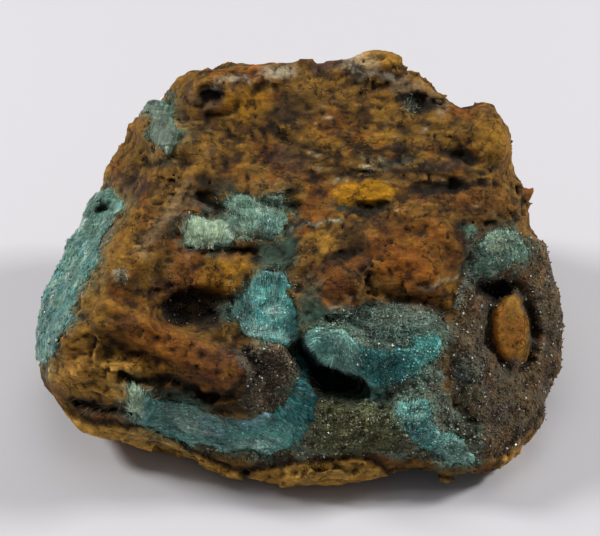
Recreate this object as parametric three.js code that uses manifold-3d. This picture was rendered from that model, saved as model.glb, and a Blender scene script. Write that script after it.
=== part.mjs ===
// Aurichalcite specimen: a loose hand-sized lump of brown limonite whose broken front holds a hollow lined
// with teal aurichalcite, with smaller crusts of the same mineral on its left flank, top and right shoulder.
// Units are millimetres, +Z is up, and the broken front faces -Y. The lump rests on a flat patch at Z = 0.
//
// The lump is one field, negative inside: three outlines meet in a block, a few planes chamfer it, and relief
// raises or sinks its front. The field is meshed on a grid. Each crust is then cut out of that solid with a
// thin gap round it, so that the crust lies in a shallow bed in the limonite.

import * as THREE from 'three';
import { mergeVertices } from 'three/addons/utils/BufferGeometryUtils.js';
import Module from 'manifold-3d';

// ---------------------------------------------------------------------------------------------------------
// Driving dimensions (mm)
// ---------------------------------------------------------------------------------------------------------

const BOX_LOW = [-36, -28, -3];      // corners of the grid that meshes the field, clear of the stone
const BOX_HIGH = [36, 28, 41];
// Cells of that grid at its low and high ends in X, Y and Z: finest at the front and top of the stone.
const SURFACE_CELLS = { low: [2.2, 1.9, 2.6], high: [2.2, 3.0, 2.1] };
const BED_CELLS = { low: [3.4, 3.0, 3.4], high: [3.4, 4.0, 3.2] };   // plainer, for the crusts' undersides

const VIEW_TILT = THREE.MathUtils.degToRad(42);   // the front view looks down by this much
const VIEW_DISTANCE = 350;                        // and from this far away
const VIEW_CENTRE = [0, -2, 18.4];                // at this point of the stone
const TO_ORIGIN = [0.099, -0.472, 0];   // brings the middle of the stone's box to X = 0 and Y = 0
const OUTLINE_GROWTH = 0.35;         // makes up for what the rounding below takes off

const OUTLINE_ROUNDING = 2.4;        // how softly the outlines run into each other
const FACE_ROUNDING = 1.2;           // how softly a broken face runs into the rest
const RELIEF_BACK = -9;              // the front relief fades out between these two depths
const RELIEF_FRONT = -4;
const CRUST_THICKNESS = 2.2;
const BED_GAP = 0.3;                 // between a crust and its bed in the limonite
const FILL_DEPTH = 0.1;              // how far inside the stone a filled sample is taken to be
const WELD_DISTANCE = 0.004;         // vertices nearer than this become one
const COLUMN_FRONT = 30;             // where the columns that cut the crusts out begin, clear of the stone

// The outline in the front view, clockwise from the upper left: right and up from the view centre.
const FRONT_OUTLINE = [
  [-16.6, 22.0], [-12.2, 24.8], [-4.2, 25.2], [1.4, 26.4], [4.6, 27.3], [9.2, 28.2], [11.2, 26.2],
  [13.6, 24.2], [17.2, 21.4], [19.9, 19.8], [23.6, 20.4], [25.5, 19.1], [26.4, 15.4], [25.4, 13.4],
  [26.2, 11.0], [28.2, 9.4], [27.9, 5.0], [29.5, 2.2], [30.2, -0.6], [31.8, -3.8], [33.0, -7.4],
  [33.3, -11.6], [31.2, -13.5], [31.5, -16.4], [29.0, -19.8], [26.7, -22.9], [23.0, -26.0], [20.4, -28.0],
  [9.6, -28.1],
  [-2.9, -27.8], [-8.9, -26.9], [-13.0, -24.0], [-17.9, -22.6], [-21.8, -22.9], [-26.0, -21.7],
  [-30.8, -16.3], [-31.7, -14.0], [-32.6, -9.2], [-33.2, -5.9], [-32.0, -2.0], [-31.1, 2.1], [-29.4, 5.0],
  [-26.7, 8.7], [-24.1, 10.2], [-23.5, 12.6], [-21.2, 15.6], [-20.4, 19.2], [-18.5, 21.2],
];

// The outline from the right side, as Y (backward) and Z (up). It reaches below the floor, where the stone is
// cut off flat.
const SIDE_OUTLINE = [
  [-14.5, -4.0], [-17.8, 0], [-22.6, 1.6], [-24.4, 4.6], [-23.0, 9.6], [-19.6, 15.6], [-15.0, 20.8],
  [-8.4, 25.0], [1.0, 28.2], [9.0, 32.0], [15.0, 35.8], [20.5, 38.8], [24.6, 37.0], [26.0, 26.0],
  [24.2, 11.0], [19.0, 0], [16.0, -4.0],
];

// The outline from above, as X and Y.
const TOP_OUTLINE = [
  [-29.0, -15.5], [-20.0, -20.0], [-6.0, -23.4], [8.0, -25.0], [21.0, -24.6], [30.0, -17.0], [34.2, -7.0],
  [33.0, 5.0], [30.0, 15.0], [21.0, 22.6], [6.0, 25.6], [-10.0, 24.8], [-22.0, 20.0], [-30.5, 9.5],
  [-34.4, -3.0],
];

// Broken faces that chamfer the block: a point on the face and the way it looks.
const BROKEN_FACES = [
  { point: [-22, 0, 25.2], looks: [-0.62, -0.08, 0.78] },      // left flank, under its crust
  { point: [-29, -6, 3.0], looks: [-0.62, -0.25, -0.74] },     // undercut below the left flank
  { point: [-24, -17.5, 4.0], looks: [-0.45, -0.60, -0.66] },  // lifted front left corner
  { point: [25.6, -9.1, 17.1], looks: [0.56, -0.58, 0.59] },   // right front
  { point: [30.6, 6.2, 21.0], looks: [0.86, 0.12, 0.50] },     // right side
  { point: [31, 0, 4.0], looks: [0.72, 0.10, -0.69] },         // undercut on the right
  { point: [20, 20.2, 23.6], looks: [0.48, 0.78, 0.40] },      // back right corner
  { point: [-17.8, 21.6, 22.3], looks: [-0.42, 0.82, 0.39] },  // back left corner
  { point: [0, 22.5, 4.4], looks: [0.05, 0.80, -0.60] },       // undercut at the back
  { point: [-27.1, 8.8, 3.5], looks: [-0.75, 0.62, -0.22] },   // low face at the back left
  { point: [-27.8, 7.8, 15.3], looks: [-0.94, 0.33, 0.12] },   // left side, behind the crust
  { point: [-11.6, 22.8, 21.2], looks: [-0.22, 0.96, 0.15] },  // back, left of the middle
  { point: [13.9, 23.0, 13.3], looks: [0.30, 0.95, -0.08] },   // back, right of the middle
  { point: [6.3, 20.6, 32.0], looks: [0.10, 0.86, 0.50] },     // back, under the peak
  { point: [24.1, 15.2, 4.1], looks: [0.66, 0.70, -0.28] },    // low face at the back right
  { point: [28.2, 13.4, 15.6], looks: [0.93, 0.36, -0.05] },   // right side, behind the druse
  { point: [-28.2, 7.7, 3.7], looks: [-0.55, 0.40, -0.73] },   // undercut at the back left
  { point: [24.0, 15.0, 3.9], looks: [0.45, 0.55, -0.70] },    // undercut at the back right
];

// Relief on the front, placed in the front view. A height is how far the surface rises (or sinks, if it is
// negative) and soft is how wide its edge is.
const LUMPS = [
  { at: [-4.2, -13.8], radii: [5.2, 4.8], height: 1.6, soft: 3.0 },            // ball of the hollow
  { at: [4.4, -10.2], radii: [4.8, 3.0], turn: -25, height: 1.8, soft: 2.6 },  // fan right of the ball
  { at: [11.5, -8.2], radii: [6.0, 3.4], height: 1.2, soft: 2.4 },             // druse above the void
  { at: [14.4, -18.4], radii: [2.8, 2.8], height: 1.2, soft: 2.2 },            // tuft at the lower right
  { at: [9.5, -20.5], radii: [7.0, 3.0], height: 0.8, soft: 2.4 },             // grey druse below the void
  { at: [4.4, -2.6], radii: [3.2, 3.2], height: 1.2, soft: 2.2 },              // lump at the foot of the hill
  { at: [13.8, 2.4], radii: [6.0, 5.4], height: 1.0, soft: 3.0 },              // rusty block on the hill
  { at: [8.1, 9.5], radii: [4.6, 1.5], turn: 4, height: 0.9, soft: 1.2 },      // mustard lens
  { at: [9.8, 25.9], radii: [3.6, 1.8], height: 1.0, soft: 1.6 },              // golden lobe of the peak
  { at: [24.2, 16.9], radii: [2.6, 3.4], height: 1.0, soft: 2.0 },             // smooth upper right lobe
  { at: [26.4, -7.6], radii: [2.3, 4.6], turn: 3, height: 2.0, soft: 1.2 },    // golden lens in its recess
  { at: [25.8, 2.2], radii: [3.6, 2.8], height: 1.3, soft: 2.0 },              // crust on the right shoulder
  { at: [-18.0, 17.4], radii: [2.4, 3.6], turn: 28, height: 1.6, soft: 2.0 },  // nodule at the upper left
  { at: [-9.2, 5.8], radii: [5.6, 2.8], height: 0.9, soft: 1.8 },              // vein crust on the hill
  { at: [-11.3, 22.0], radii: [3.0, 2.2], height: 1.0, soft: 1.8 },            // knob at the upper left
  { at: [-24.0, -16.2], radii: [6.0, 4.4], height: 1.0, soft: 3.0 },           // ochre lump at the lower left
];

const PITS = [
  { at: [-13.1, -5.2], radii: [4.3, 2.3], turn: 12, height: -3.4, soft: 2.4 },  // dark pit left of the column
  { at: [26.2, -7.4], radii: [3.3, 5.6], turn: 3, height: -1.9, soft: 1.8 },    // recess of the golden lens
  { at: [24.1, -2.6], radii: [1.9, 1.2], height: -2.2, soft: 1.4 },             // black pit above that recess
  { at: [14.8, 20.6], radii: [2.6, 1.2], turn: -8, height: -1.3, soft: 1.4 },   // pit behind the peak
  { at: [20.1, 13.9], radii: [2.2, 0.7], turn: -24, height: -0.9, soft: 1.2 },  // upper lens pit
  { at: [17.9, 10.1], radii: [3.2, 0.8], turn: 5, height: -0.9, soft: 1.2 },    // lower lens pit
  { at: [-11.1, 21.4], radii: [1.4, 0.9], height: -1.4, soft: 1.4 },            // pit in the knob
  { at: [-24.3, 7.5], radii: [0.9, 0.8], height: -1.6, soft: 1.0 },             // hole above the left flank
  { at: [-11.0, 7.0], radii: [1.7, 1.2], height: -1.0, soft: 1.0 },             // notch in the vein crust
  { at: [-3.2, 1.6], radii: [2.2, 1.8], height: -0.6, soft: 3.0 },              // neck over the column
];

// Long ridges and grooves: a chain of points, half a width, a height and a soft edge.
const RIDGES = [
  { chain: [[-13.5, 14.5], [-17.5, 8.0], [-22.5, 1.0], [-27.0, -7.0], [-29.5, -13.0]],
    halfWidth: 3.0, height: 1.5, soft: 3.0 },  // shoulder of the left flank
  { chain: [[-24.0, -6.0], [-16.0, -9.6], [-8.2, -13.0]],
    halfWidth: 2.0, height: 1.9, soft: 1.4 },  // tongue in the hollow
  { chain: [[-3.6, -1.4], [-3.8, -9.0]],
    halfWidth: 2.2, height: 1.0, soft: 1.8 },  // column of the hollow
  { chain: [[-13.0, 11.4], [-8.0, 9.8], [0.0, 9.8]],
    halfWidth: 1.6, height: 0.9, soft: 1.6 },  // arch over the vein crust
];

const GROOVES = [
  { chain: [[-27.5, -18.6], [-25.6, -19.2], [-20.1, -19.6], [-15.9, -21.0], [-12.0, -23.4], [-6.8, -25.2],
    [-1.5, -24.4], [4.6, -23.6], [8.8, -23.8], [10.9, -25.1], [17.9, -26.0], [23.0, -26.2]],
    halfWidth: 0.3, height: -0.5, soft: 1.0 },   // seam above the rind
  { chain: [[-22.4, -13.2], [-20.6, -14.0], [-19.2, -14.3], [-16.6, -13.8], [-14.4, -14.4], [-12.6, -15.5],
    [-10.6, -15.9], [-8.6, -15.5], [-7.2, -14.2]],
    halfWidth: 0.35, height: -1.9, soft: 1.2 },  // round the tongue
  { chain: [[-28.0, -16.6], [-24.4, -17.4], [-20.4, -18.0]],
    halfWidth: 0.4, height: -1.2, soft: 1.0 },   // crack in the ochre lump
  { chain: [[-15.2, 2.4], [-10.4, 1.9], [-5.8, 2.4]],
    halfWidth: 0.2, height: -0.9, soft: 0.8 },   // under the vein crust
  { chain: [[6.8, 24.9], [12.8, 24.9]],
    halfWidth: 0.2, height: -0.9, soft: 0.8 },   // under the peak's lobe
  { chain: [[-20.0, 14.0], [-18.6, 12.9], [-16.0, 13.6], [-15.0, 16.4]],
    halfWidth: 0.3, height: -1.0, soft: 0.9 },   // round the nodule
];

// Round knobs and hollows elsewhere: centre, radius and height.
const ROUND_FORMS = [
  { centre: [-12, 22, 22], radius: 9, height: 2.0 },  // back: upper left knob
  { centre: [6, 24, 26], radius: 8, height: -2.2 },   // back: hollow under the peak
  { centre: [12, 23, 14], radius: 9, height: 2.2 },   // back: right knob
  { centre: [-4, 22, 9], radius: 8, height: -1.8 },   // back: low hollow
  { centre: [-20, 17, 12], radius: 8, height: 1.8 },  // back: left knob
  { centre: [24, 14, 14], radius: 8, height: -2.0 },  // right back hollow
  { centre: [32, 2, 14], radius: 7, height: 0.8 },    // right knob
  { centre: [27, -14, 6], radius: 6, height: 1.4 },   // right front foot
  { centre: [-30, 6, 10], radius: 7, height: -1.8 },  // left hollow
  { centre: [-27, -9, 4], radius: 6, height: 1.5 },   // left foot
  { centre: [2, -22, 3], radius: 6, height: 0.5 },    // front foot
];

// Areas of the front that lie deeper than the surface round them: the whole floor of the hollow, and the
// black void right of the ball.
const HOLLOW_FLOOR = {
  corners: [[-7.0, -0.4], [-2.0, -0.6], [0.8, -6.6], [5.2, -6.4], [12.0, -3.4], [18.6, -4.6], [20.0, -11.0],
    [21.5, -20.0], [20.8, -25.0], [9.0, -23.0], [-2.0, -23.4], [-11.0, -22.4], [-19.0, -19.0], [-18.4, -15.0],
    [-9.0, -15.8], [-7.0, -12.6], [-9.4, -7.6]],
  height: -1.3,
  soft: 3.6,
};
const VOID = {
  corners: [[-0.2, -9.8], [1.8, -11.9], [4.4, -12.9], [7.0, -13.8], [7.8, -14.9], [5.6, -15.2], [3.0, -15.2],
    [1.9, -13.5]],
  back: -3.5,            // how near its back wall is in the front view
  taper: 0.12,           // how much it narrows for each millimetre inward
};

// Each crust's colour, how near its back edge is in the front view, and the area that it covers there.
const CRUSTS = [
  { name: 'front_hollow_crust', colour: '#3f8f8c', back: 1.5, area: [
    [-5.2, -0.6], [-2.0, -0.8], [-1.0, -4.0], [-0.4, -8.4], [1.4, -7.4], [5.0, -7.2], [6.4, -8.8],
    [9.0, -9.2], [14.0, -8.4], [17.3, -8.8], [17.2, -12.0], [14.8, -14.4], [16.4, -16.8], [17.6, -19.6],
    [21.2, -21.6], [21.2, -24.6], [17.4, -24.0], [13.0, -20.4], [12.4, -16.6], [10.6, -14.6],
    [7.2, -14.2], [4.6, -13.0], [1.8, -12.0], [0.6, -11.0], [1.4, -12.8], [2.1, -14.2], [2.1, -16.6],
    [1.3, -20.0], [0.2, -21.6], [-1.4, -22.8], [-7.0, -22.7], [-12.0, -22.3], [-18.6, -21.4],
    [-21.6, -19.8], [-21.4, -15.0], [-19.8, -15.0], [-18.6, -16.6], [-14.4, -16.8], [-11.0, -17.8],
    [-8.4, -19.0], [-4.8, -18.2], [-1.9, -16.2], [-0.6, -13.8], [-1.4, -11.2], [-4.8, -9.8], [-8.6, -7.8],
    [-7.4, -4.0],
  ] },
  { name: 'left_flank_crust', colour: '#5c938a', back: -7, area: [
    [-27.6, 9.6], [-22.6, 8.2], [-22.9, 6.2], [-24.2, 3.6], [-25.8, 0.4], [-27.8, -3.4], [-29.0, -7.0],
    [-29.8, -9.8], [-31.2, -12.2], [-35.0, -12.0], [-36.0, -4.0], [-33.0, 4.0],
  ] },
  { name: 'upper_left_nodule', colour: '#6f8f7d', back: -7, area: [
    [-20.2, 19.6], [-19.2, 22.0], [-16.2, 21.0], [-15.8, 18.2], [-15.0, 16.8], [-15.4, 14.6],
    [-17.0, 14.3], [-18.8, 16.2], [-19.2, 18.8],
  ] },
  { name: 'upper_vein_crust', colour: '#7fa58f', back: -4, area: [
    [-14.9, 4.5], [-14.5, 6.2], [-12.8, 6.6], [-11.2, 5.8], [-9.6, 7.6], [-7.4, 8.9], [-2.4, 8.9],
    [-1.2, 6.8], [-2.2, 4.2], [-5.4, 3.5], [-8.6, 2.8], [-13.6, 2.6],
  ] },
  { name: 'right_shoulder_crust', colour: '#6f9480', back: -4, area: [
    [25.0, 4.9], [27.2, 4.4], [28.6, 2.8], [28.4, 1.2], [26.6, 0.3], [24.2, -1.0], [21.2, -0.8],
    [22.6, 1.6], [23.6, 3.6],
  ] },
];

const LIMONITE_COLOUR = '#65482a';

// ---------------------------------------------------------------------------------------------------------
// Distances and blends
// ---------------------------------------------------------------------------------------------------------

// Signed distance from a point to a closed outline in a plane, negative inside.
function distanceToOutline(x, y, outline) {
  let nearest = Infinity;
  let inside = false;
  for (let i = 0, j = outline.length - 1; i < outline.length; j = i++) {
    const [ax, ay] = outline[j];
    const [bx, by] = outline[i];
    nearest = Math.min(nearest, distanceToSegment(x, y, ax, ay, bx, by));
    const crosses = (ay > y) !== (by > y) && x < (bx - ax) * (y - ay) / (by - ay) + ax;
    if (crosses) inside = !inside;
  }
  return inside ? -nearest : nearest;
}

function distanceToSegment(x, y, ax, ay, bx, by) {
  const ux = bx - ax;
  const uy = by - ay;
  const along = THREE.MathUtils.clamp(((x - ax) * ux + (y - ay) * uy) / (ux * ux + uy * uy), 0, 1);
  return Math.hypot(x - ax - along * ux, y - ay - along * uy);
}

function distanceToChain(x, y, chain) {
  let nearest = Infinity;
  for (let i = 1; i < chain.length; i++) {
    nearest = Math.min(nearest, distanceToSegment(x, y, ...chain[i - 1], ...chain[i]));
  }
  return nearest;
}

// The larger of two distances, with the edge where they meet rounded over the given width.
function softMax(a, b, width) {
  const overlap = Math.max(width - Math.abs(a - b), 0) / width;
  return Math.max(a, b) + overlap * overlap * width / 4;
}

// 1 where the distance is well inside an area, 0 outside, with a smooth edge of the given width.
function coverage(distance, soft) {
  return THREE.MathUtils.smoothstep(-distance, -soft / 2, soft / 2);
}

// ---------------------------------------------------------------------------------------------------------
// The front view and the field
// ---------------------------------------------------------------------------------------------------------

// Right, up and nearness of a point in the front view.
function inFrontView(x, y, z) {
  const back = y - VIEW_CENTRE[1];
  const up = z - VIEW_CENTRE[2];
  const near = -back * Math.cos(VIEW_TILT) + up * Math.sin(VIEW_TILT);
  const scale = VIEW_DISTANCE / (VIEW_DISTANCE - near);
  const rise = back * Math.sin(VIEW_TILT) + up * Math.cos(VIEW_TILT);
  return [(x - VIEW_CENTRE[0]) * scale, rise * scale, near];
}

// The point that lies at the given place in the front view.
function fromFrontView(u, v, near) {
  const scale = VIEW_DISTANCE / (VIEW_DISTANCE - near);
  const rise = v / scale;
  const back = rise * Math.sin(VIEW_TILT) - near * Math.cos(VIEW_TILT);
  const up = rise * Math.cos(VIEW_TILT) + near * Math.sin(VIEW_TILT);
  return [VIEW_CENTRE[0] + u / scale, VIEW_CENTRE[1] + back, VIEW_CENTRE[2] + up];
}

// Height of one lump or pit, a smooth-edged ellipse.
function ellipseHeight(u, v, { at, radii, turn = 0, height, soft }) {
  const angle = THREE.MathUtils.degToRad(turn);
  const along = (u - at[0]) * Math.cos(angle) + (v - at[1]) * Math.sin(angle);
  const across = -(u - at[0]) * Math.sin(angle) + (v - at[1]) * Math.cos(angle);
  const distance = (Math.hypot(along / radii[0], across / radii[1]) - 1) * Math.min(...radii);
  return height * coverage(distance, soft);
}

function chainHeight(u, v, { chain, halfWidth, height, soft }) {
  return height * coverage(distanceToChain(u, v, chain) - halfWidth, soft);
}

function areaHeight(u, v, { corners, height, soft }) {
  return height * coverage(distanceToOutline(u, v, corners), soft);
}

function total(shapes, heightOf) {
  return shapes.reduce((sum, shape) => sum + heightOf(shape), 0);
}

// The lumps, ridges and hollow floor that the crusts follow.
function broadRelief(u, v) {
  return total(LUMPS, (lump) => ellipseHeight(u, v, lump))
    + total(RIDGES, (ridge) => chainHeight(u, v, ridge)) + areaHeight(u, v, HOLLOW_FLOOR);
}

// The pits and grooves that are broken or worn into it.
function sharpRelief(u, v) {
  return total(PITS, (pit) => ellipseHeight(u, v, pit))
    + total(GROOVES, (groove) => chainHeight(u, v, groove));
}

// Knobs (positive) and hollows (negative) of the sides, back and underside.
function roundForms(x, y, z) {
  return total(ROUND_FORMS, ({ centre, radius, height }) => {
    const distance = Math.hypot(x - centre[0], y - centre[1], z - centre[2]);
    return height * coverage(distance - radius / 2, radius);
  });
}

// The void, negative inside: a wedge that narrows inward from the front.
function voidField(u, v, near) {
  return Math.max(distanceToOutline(u, v, VOID.corners) - VOID.taper * (near - VOID.back), VOID.back - near);
}

// Broad unevenness that the whole lump has, from crossed waves of a few lengths.
function unevenness(x, y, z) {
  const slow = Math.sin(x / 4.1 + 1.3) * Math.sin(y / 3.7 + z / 6.1) + Math.sin(z / 3.3 - x / 7.0 + 0.4);
  const quick = Math.sin(x / 1.9 + y / 2.6) * Math.sin(z / 2.1 + y / 3.1 + 2.0);
  return 0.35 * slow + 0.25 * quick;
}

// The whole stone with its crusts, before anything is broken out of its front: negative inside.
function blockField(x, y, z) {
  const [u, v, near] = inFrontView(x, y, z);
  let field = distanceToOutline(u, v, FRONT_OUTLINE) - OUTLINE_GROWTH;
  field = softMax(field, distanceToOutline(y, z, SIDE_OUTLINE), OUTLINE_ROUNDING);
  field = softMax(field, distanceToOutline(x, y, TOP_OUTLINE), OUTLINE_ROUNDING);
  for (const { point, looks } of BROKEN_FACES) {
    const distance = looks[0] * (x - point[0]) + looks[1] * (y - point[1]) + looks[2] * (z - point[2]);
    field = softMax(field, distance, FACE_ROUNDING);
  }
  return field - frontShare(near) * broadRelief(u, v) - roundForms(x, y, z) - unevenness(x, y, z);
}

function stoneField(x, y, z) {
  const [u, v, near] = inFrontView(x, y, z);
  const broken = blockField(x, y, z) - frontShare(near) * sharpRelief(u, v);
  return Math.max(softMax(broken, -voidField(u, v, near), 1), -z);
}

function frontShare(near) {
  return THREE.MathUtils.smoothstep(near, RELIEF_BACK, RELIEF_FRONT);
}

// ---------------------------------------------------------------------------------------------------------
// Meshing: one vertex in each grid cell that the surface crosses, and one quad over each crossed grid edge
// ---------------------------------------------------------------------------------------------------------

// The grid's lines along one axis: their spacing goes evenly from the low cell to the high one.
function gridLines(axis, cells) {
  const span = BOX_HIGH[axis] - BOX_LOW[axis];
  const [low, high] = [cells.low[axis], cells.high[axis]];
  const steps = Math.round(2 * span / (low + high));
  const lines = [BOX_LOW[axis]];
  for (let i = 0; i < steps; i++) {
    lines.push(lines[i] + THREE.MathUtils.lerp(low, high, i / (steps - 1)));
  }
  const stretch = span / (lines[steps] - BOX_LOW[axis]);
  return lines.map((line) => BOX_LOW[axis] + (line - BOX_LOW[axis]) * stretch);
}

function sampleField(field, lines) {
  const values = [];
  for (const z of lines[2]) {
    for (const y of lines[1]) {
      for (const x of lines[0]) values.push(field(x, y, z));
    }
  }
  return values;
}

// A square of four samples with inside and outside at alternate corners would give an edge shared by four
// faces. The nearer of its two outside samples is filled in, until no such square is left.
function settleAlternatingSquares(values, counts) {
  const steps = [1, counts[0], counts[0] * counts[1]];
  let settled = false;
  while (!settled) {
    settled = true;
    for (let corner = 0; corner < values.length - steps[2] - steps[1] - 1; corner++) {
      for (const [first, second] of [[steps[0], steps[1]], [steps[1], steps[2]], [steps[2], steps[0]]]) {
        const square = [corner, corner + first, corner + first + second, corner + second];
        const inside = square.map((index) => values[index] < 0);
        if (inside[0] !== inside[2] || inside[1] !== inside[3] || inside[0] === inside[1]) continue;
        const [a, b] = square.filter((index) => values[index] >= 0);
        values[values[a] < values[b] ? a : b] = -FILL_DEPTH;
        settled = false;
      }
    }
  }
}

// Where the surface passes through one cell: the mean of its crossings of the cell's edges.
function cellVertex(values, corner, steps, origin, lines) {
  const low = lines.map((line, d) => line[origin[d]]);
  const high = lines.map((line, d) => line[origin[d] + 1]);
  const sum = [0, 0, 0];
  let crossings = 0;
  for (let a = 0; a < 8; a++) {
    for (let axis = 0; axis < 3; axis++) {
      if (a & (1 << axis)) continue;
      const b = a | (1 << axis);
      const from = values[corner + offsetOf(a, steps)];
      const to = values[corner + offsetOf(b, steps)];
      if ((from < 0) === (to < 0)) continue;
      for (let d = 0; d < 3; d++) sum[d] += (a >> d) & 1 ? high[d] : low[d];
      sum[axis] += (high[axis] - low[axis]) * from / (from - to);
      crossings++;
    }
  }
  return crossings ? sum.map((value) => value / crossings) : null;
}

function offsetOf(cornerBits, steps) {
  return steps.reduce((sum, step, axis) => sum + (((cornerBits >> axis) & 1) ? step : 0), 0);
}

function meshField(field, cells) {
  const lines = [0, 1, 2].map((axis) => gridLines(axis, cells));
  const counts = lines.map((line) => line.length);
  const values = sampleField(field, lines);
  settleAlternatingSquares(values, counts);
  const steps = [1, counts[0], counts[0] * counts[1]];
  const vertexOf = new Map();
  const positions = [];
  for (let k = 0; k < counts[2] - 1; k++) {
    for (let j = 0; j < counts[1] - 1; j++) {
      for (let i = 0; i < counts[0] - 1; i++) {
        const corner = i + steps[1] * j + steps[2] * k;
        const vertex = cellVertex(values, corner, steps, [i, j, k], lines);
        if (!vertex) continue;
        vertexOf.set(corner, positions.length / 3);
        positions.push(...vertex);
      }
    }
  }
  const indices = [];
  for (const corner of vertexOf.keys()) {
    for (let axis = 0; axis < 3; axis++) {
      const second = steps[(axis + 1) % 3];
      const third = steps[(axis + 2) % 3];
      const from = values[corner];
      const to = values[corner + steps[axis]];
      if ((from < 0) === (to < 0)) continue;
      const cells = [corner, corner - second, corner - second - third, corner - third];
      const ring = cells.map((cell) => vertexOf.get(cell));
      if (ring.includes(undefined)) continue;
      const [a, b, c, d] = from < 0 ? ring : ring.toReversed();
      indices.push(a, b, c, a, c, d);
    }
  }
  const geometry = new THREE.BufferGeometry();
  geometry.setAttribute('position', new THREE.Float32BufferAttribute(positions, 3));
  geometry.setIndex(indices);
  return geometry;
}

// ---------------------------------------------------------------------------------------------------------
// Solids
// ---------------------------------------------------------------------------------------------------------

const manifoldLibrary = await Module();
manifoldLibrary.setup();

function toSolid(geometry) {
  const merged = mergeVertices(geometry);
  const mesh = new manifoldLibrary.Mesh({
    numProp: 3,
    vertProperties: new Float32Array(merged.attributes.position.array),
    triVerts: new Uint32Array(merged.index.array),
  });
  return new manifoldLibrary.Manifold(mesh);
}

// The solid's surface with vertices a hair apart made one, and without the slivers that this flattens: faces
// with a repeated corner, and pairs of faces that lie back to back.
function toGeometry(solid) {
  const mesh = solid.getMesh();
  const loose = new THREE.BufferGeometry();
  loose.setAttribute('position', new THREE.Float32BufferAttribute(mesh.vertProperties, 3));
  loose.setIndex(new THREE.Uint32BufferAttribute(mesh.triVerts, 1));
  const geometry = mergeVertices(loose, WELD_DISTANCE);
  const corners = geometry.index.array;
  const faces = new Map();
  for (let i = 0; i < corners.length; i += 3) {
    const face = [...corners.slice(i, i + 3)];
    if (new Set(face).size < 3) continue;
    const key = face.toSorted((a, b) => a - b).join();
    if (!faces.delete(key)) faces.set(key, face);
  }
  geometry.setIndex([...faces.values()].flat());
  return geometry;
}

// The outline moved outward by a margin, each corner along the line that halves it.
function growOutline(outline, margin) {
  const turning = Math.sign(THREE.ShapeUtils.area(outline.map(([x, y]) => ({ x, y }))));
  return outline.map((corner, i) => {
    const here = new THREE.Vector2(...corner);
    const before = new THREE.Vector2(...outline.at(i - 1)).sub(here).normalize();
    const after = new THREE.Vector2(...outline[(i + 1) % outline.length]).sub(here).normalize();
    const outward = new THREE.Vector2(after.y - before.y, before.x - after.x).normalize();
    outward.multiplyScalar(turning);
    const reach = margin / Math.max(Math.abs(outward.cross(after)), 0.5);
    return here.addScaledVector(outward, reach).toArray();
  });
}

// A column along the view direction over a crust's area, from its back to in front of the stone.
function areaColumn({ area, back }, margin) {
  const shape = new THREE.Shape(growOutline(area, margin).map((corner) => new THREE.Vector2(...corner)));
  const geometry = new THREE.ExtrudeGeometry(shape, { depth: COLUMN_FRONT - back, bevelEnabled: false });
  geometry.deleteAttribute('normal');
  geometry.deleteAttribute('uv');
  const position = geometry.attributes.position;
  for (let i = 0; i < position.count; i++) {
    const near = back - margin + position.getZ(i);
    position.setXYZ(i, ...fromFrontView(position.getX(i), position.getY(i), near));
  }
  return toSolid(geometry);
}

function largestPiece(solid) {
  return solid.decompose().reduce((largest, piece) => (piece.volume() > largest.volume() ? piece : largest));
}

function makeMesh(name, solid, colour, roughness) {
  const material = new THREE.MeshStandardMaterial({ color: colour, roughness, metalness: 0 });
  const mesh = new THREE.Mesh(toGeometry(solid), material);
  mesh.name = name;
  return mesh;
}

// ---------------------------------------------------------------------------------------------------------
// The specimen
// ---------------------------------------------------------------------------------------------------------

const specimen = new THREE.Group();
specimen.position.set(...TO_ORIGIN);
const stone = toSolid(meshField(stoneField, SURFACE_CELLS));
const underCrusts = toSolid(meshField((x, y, z) => blockField(x, y, z) + CRUST_THICKNESS, BED_CELLS));
const underBeds = toSolid(meshField((x, y, z) => blockField(x, y, z) + CRUST_THICKNESS + BED_GAP, BED_CELLS));
let limonite = stone;

for (const crust of CRUSTS) {
  const solid = stone.intersect(areaColumn(crust, 0)).subtract(underCrusts);
  limonite = limonite.subtract(areaColumn(crust, BED_GAP).subtract(underBeds));
  specimen.add(makeMesh(crust.name, largestPiece(solid), crust.colour, 0.55));
}
specimen.add(makeMesh('limonite_matrix', largestPiece(limonite), LIMONITE_COLOUR, 0.85));

export default specimen;
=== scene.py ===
"""Aurichalcite specimen: the looks of a brown limonite lump with teal aurichalcite crusts.

The stone is rebuilt from the same field as the CAD part, in millimetres, at a finer grain and with noise.
Each crust is a shell of that field with its own striations, and meshes of needles and of grains grow on the
front. Everything is scaled to metres when it becomes a Blender object.
"""
import math

import bpy
import numpy as np
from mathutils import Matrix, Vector


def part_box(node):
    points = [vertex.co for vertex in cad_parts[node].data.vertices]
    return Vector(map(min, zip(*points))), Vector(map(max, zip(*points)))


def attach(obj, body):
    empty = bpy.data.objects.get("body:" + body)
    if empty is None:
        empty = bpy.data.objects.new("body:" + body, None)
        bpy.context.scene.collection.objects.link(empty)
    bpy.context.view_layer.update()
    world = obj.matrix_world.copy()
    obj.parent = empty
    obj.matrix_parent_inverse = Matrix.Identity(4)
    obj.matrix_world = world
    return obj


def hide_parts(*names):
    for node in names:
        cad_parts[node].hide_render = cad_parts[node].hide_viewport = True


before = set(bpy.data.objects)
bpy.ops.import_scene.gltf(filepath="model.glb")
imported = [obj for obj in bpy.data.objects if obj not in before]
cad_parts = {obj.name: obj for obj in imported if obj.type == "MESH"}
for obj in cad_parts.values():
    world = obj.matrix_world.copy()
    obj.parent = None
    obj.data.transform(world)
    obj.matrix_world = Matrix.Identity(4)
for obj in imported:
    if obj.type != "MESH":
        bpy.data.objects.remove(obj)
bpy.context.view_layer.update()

# ---- Driving dimensions (mm): the part's own, but for a finer grid and a slightly narrower void ----

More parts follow.
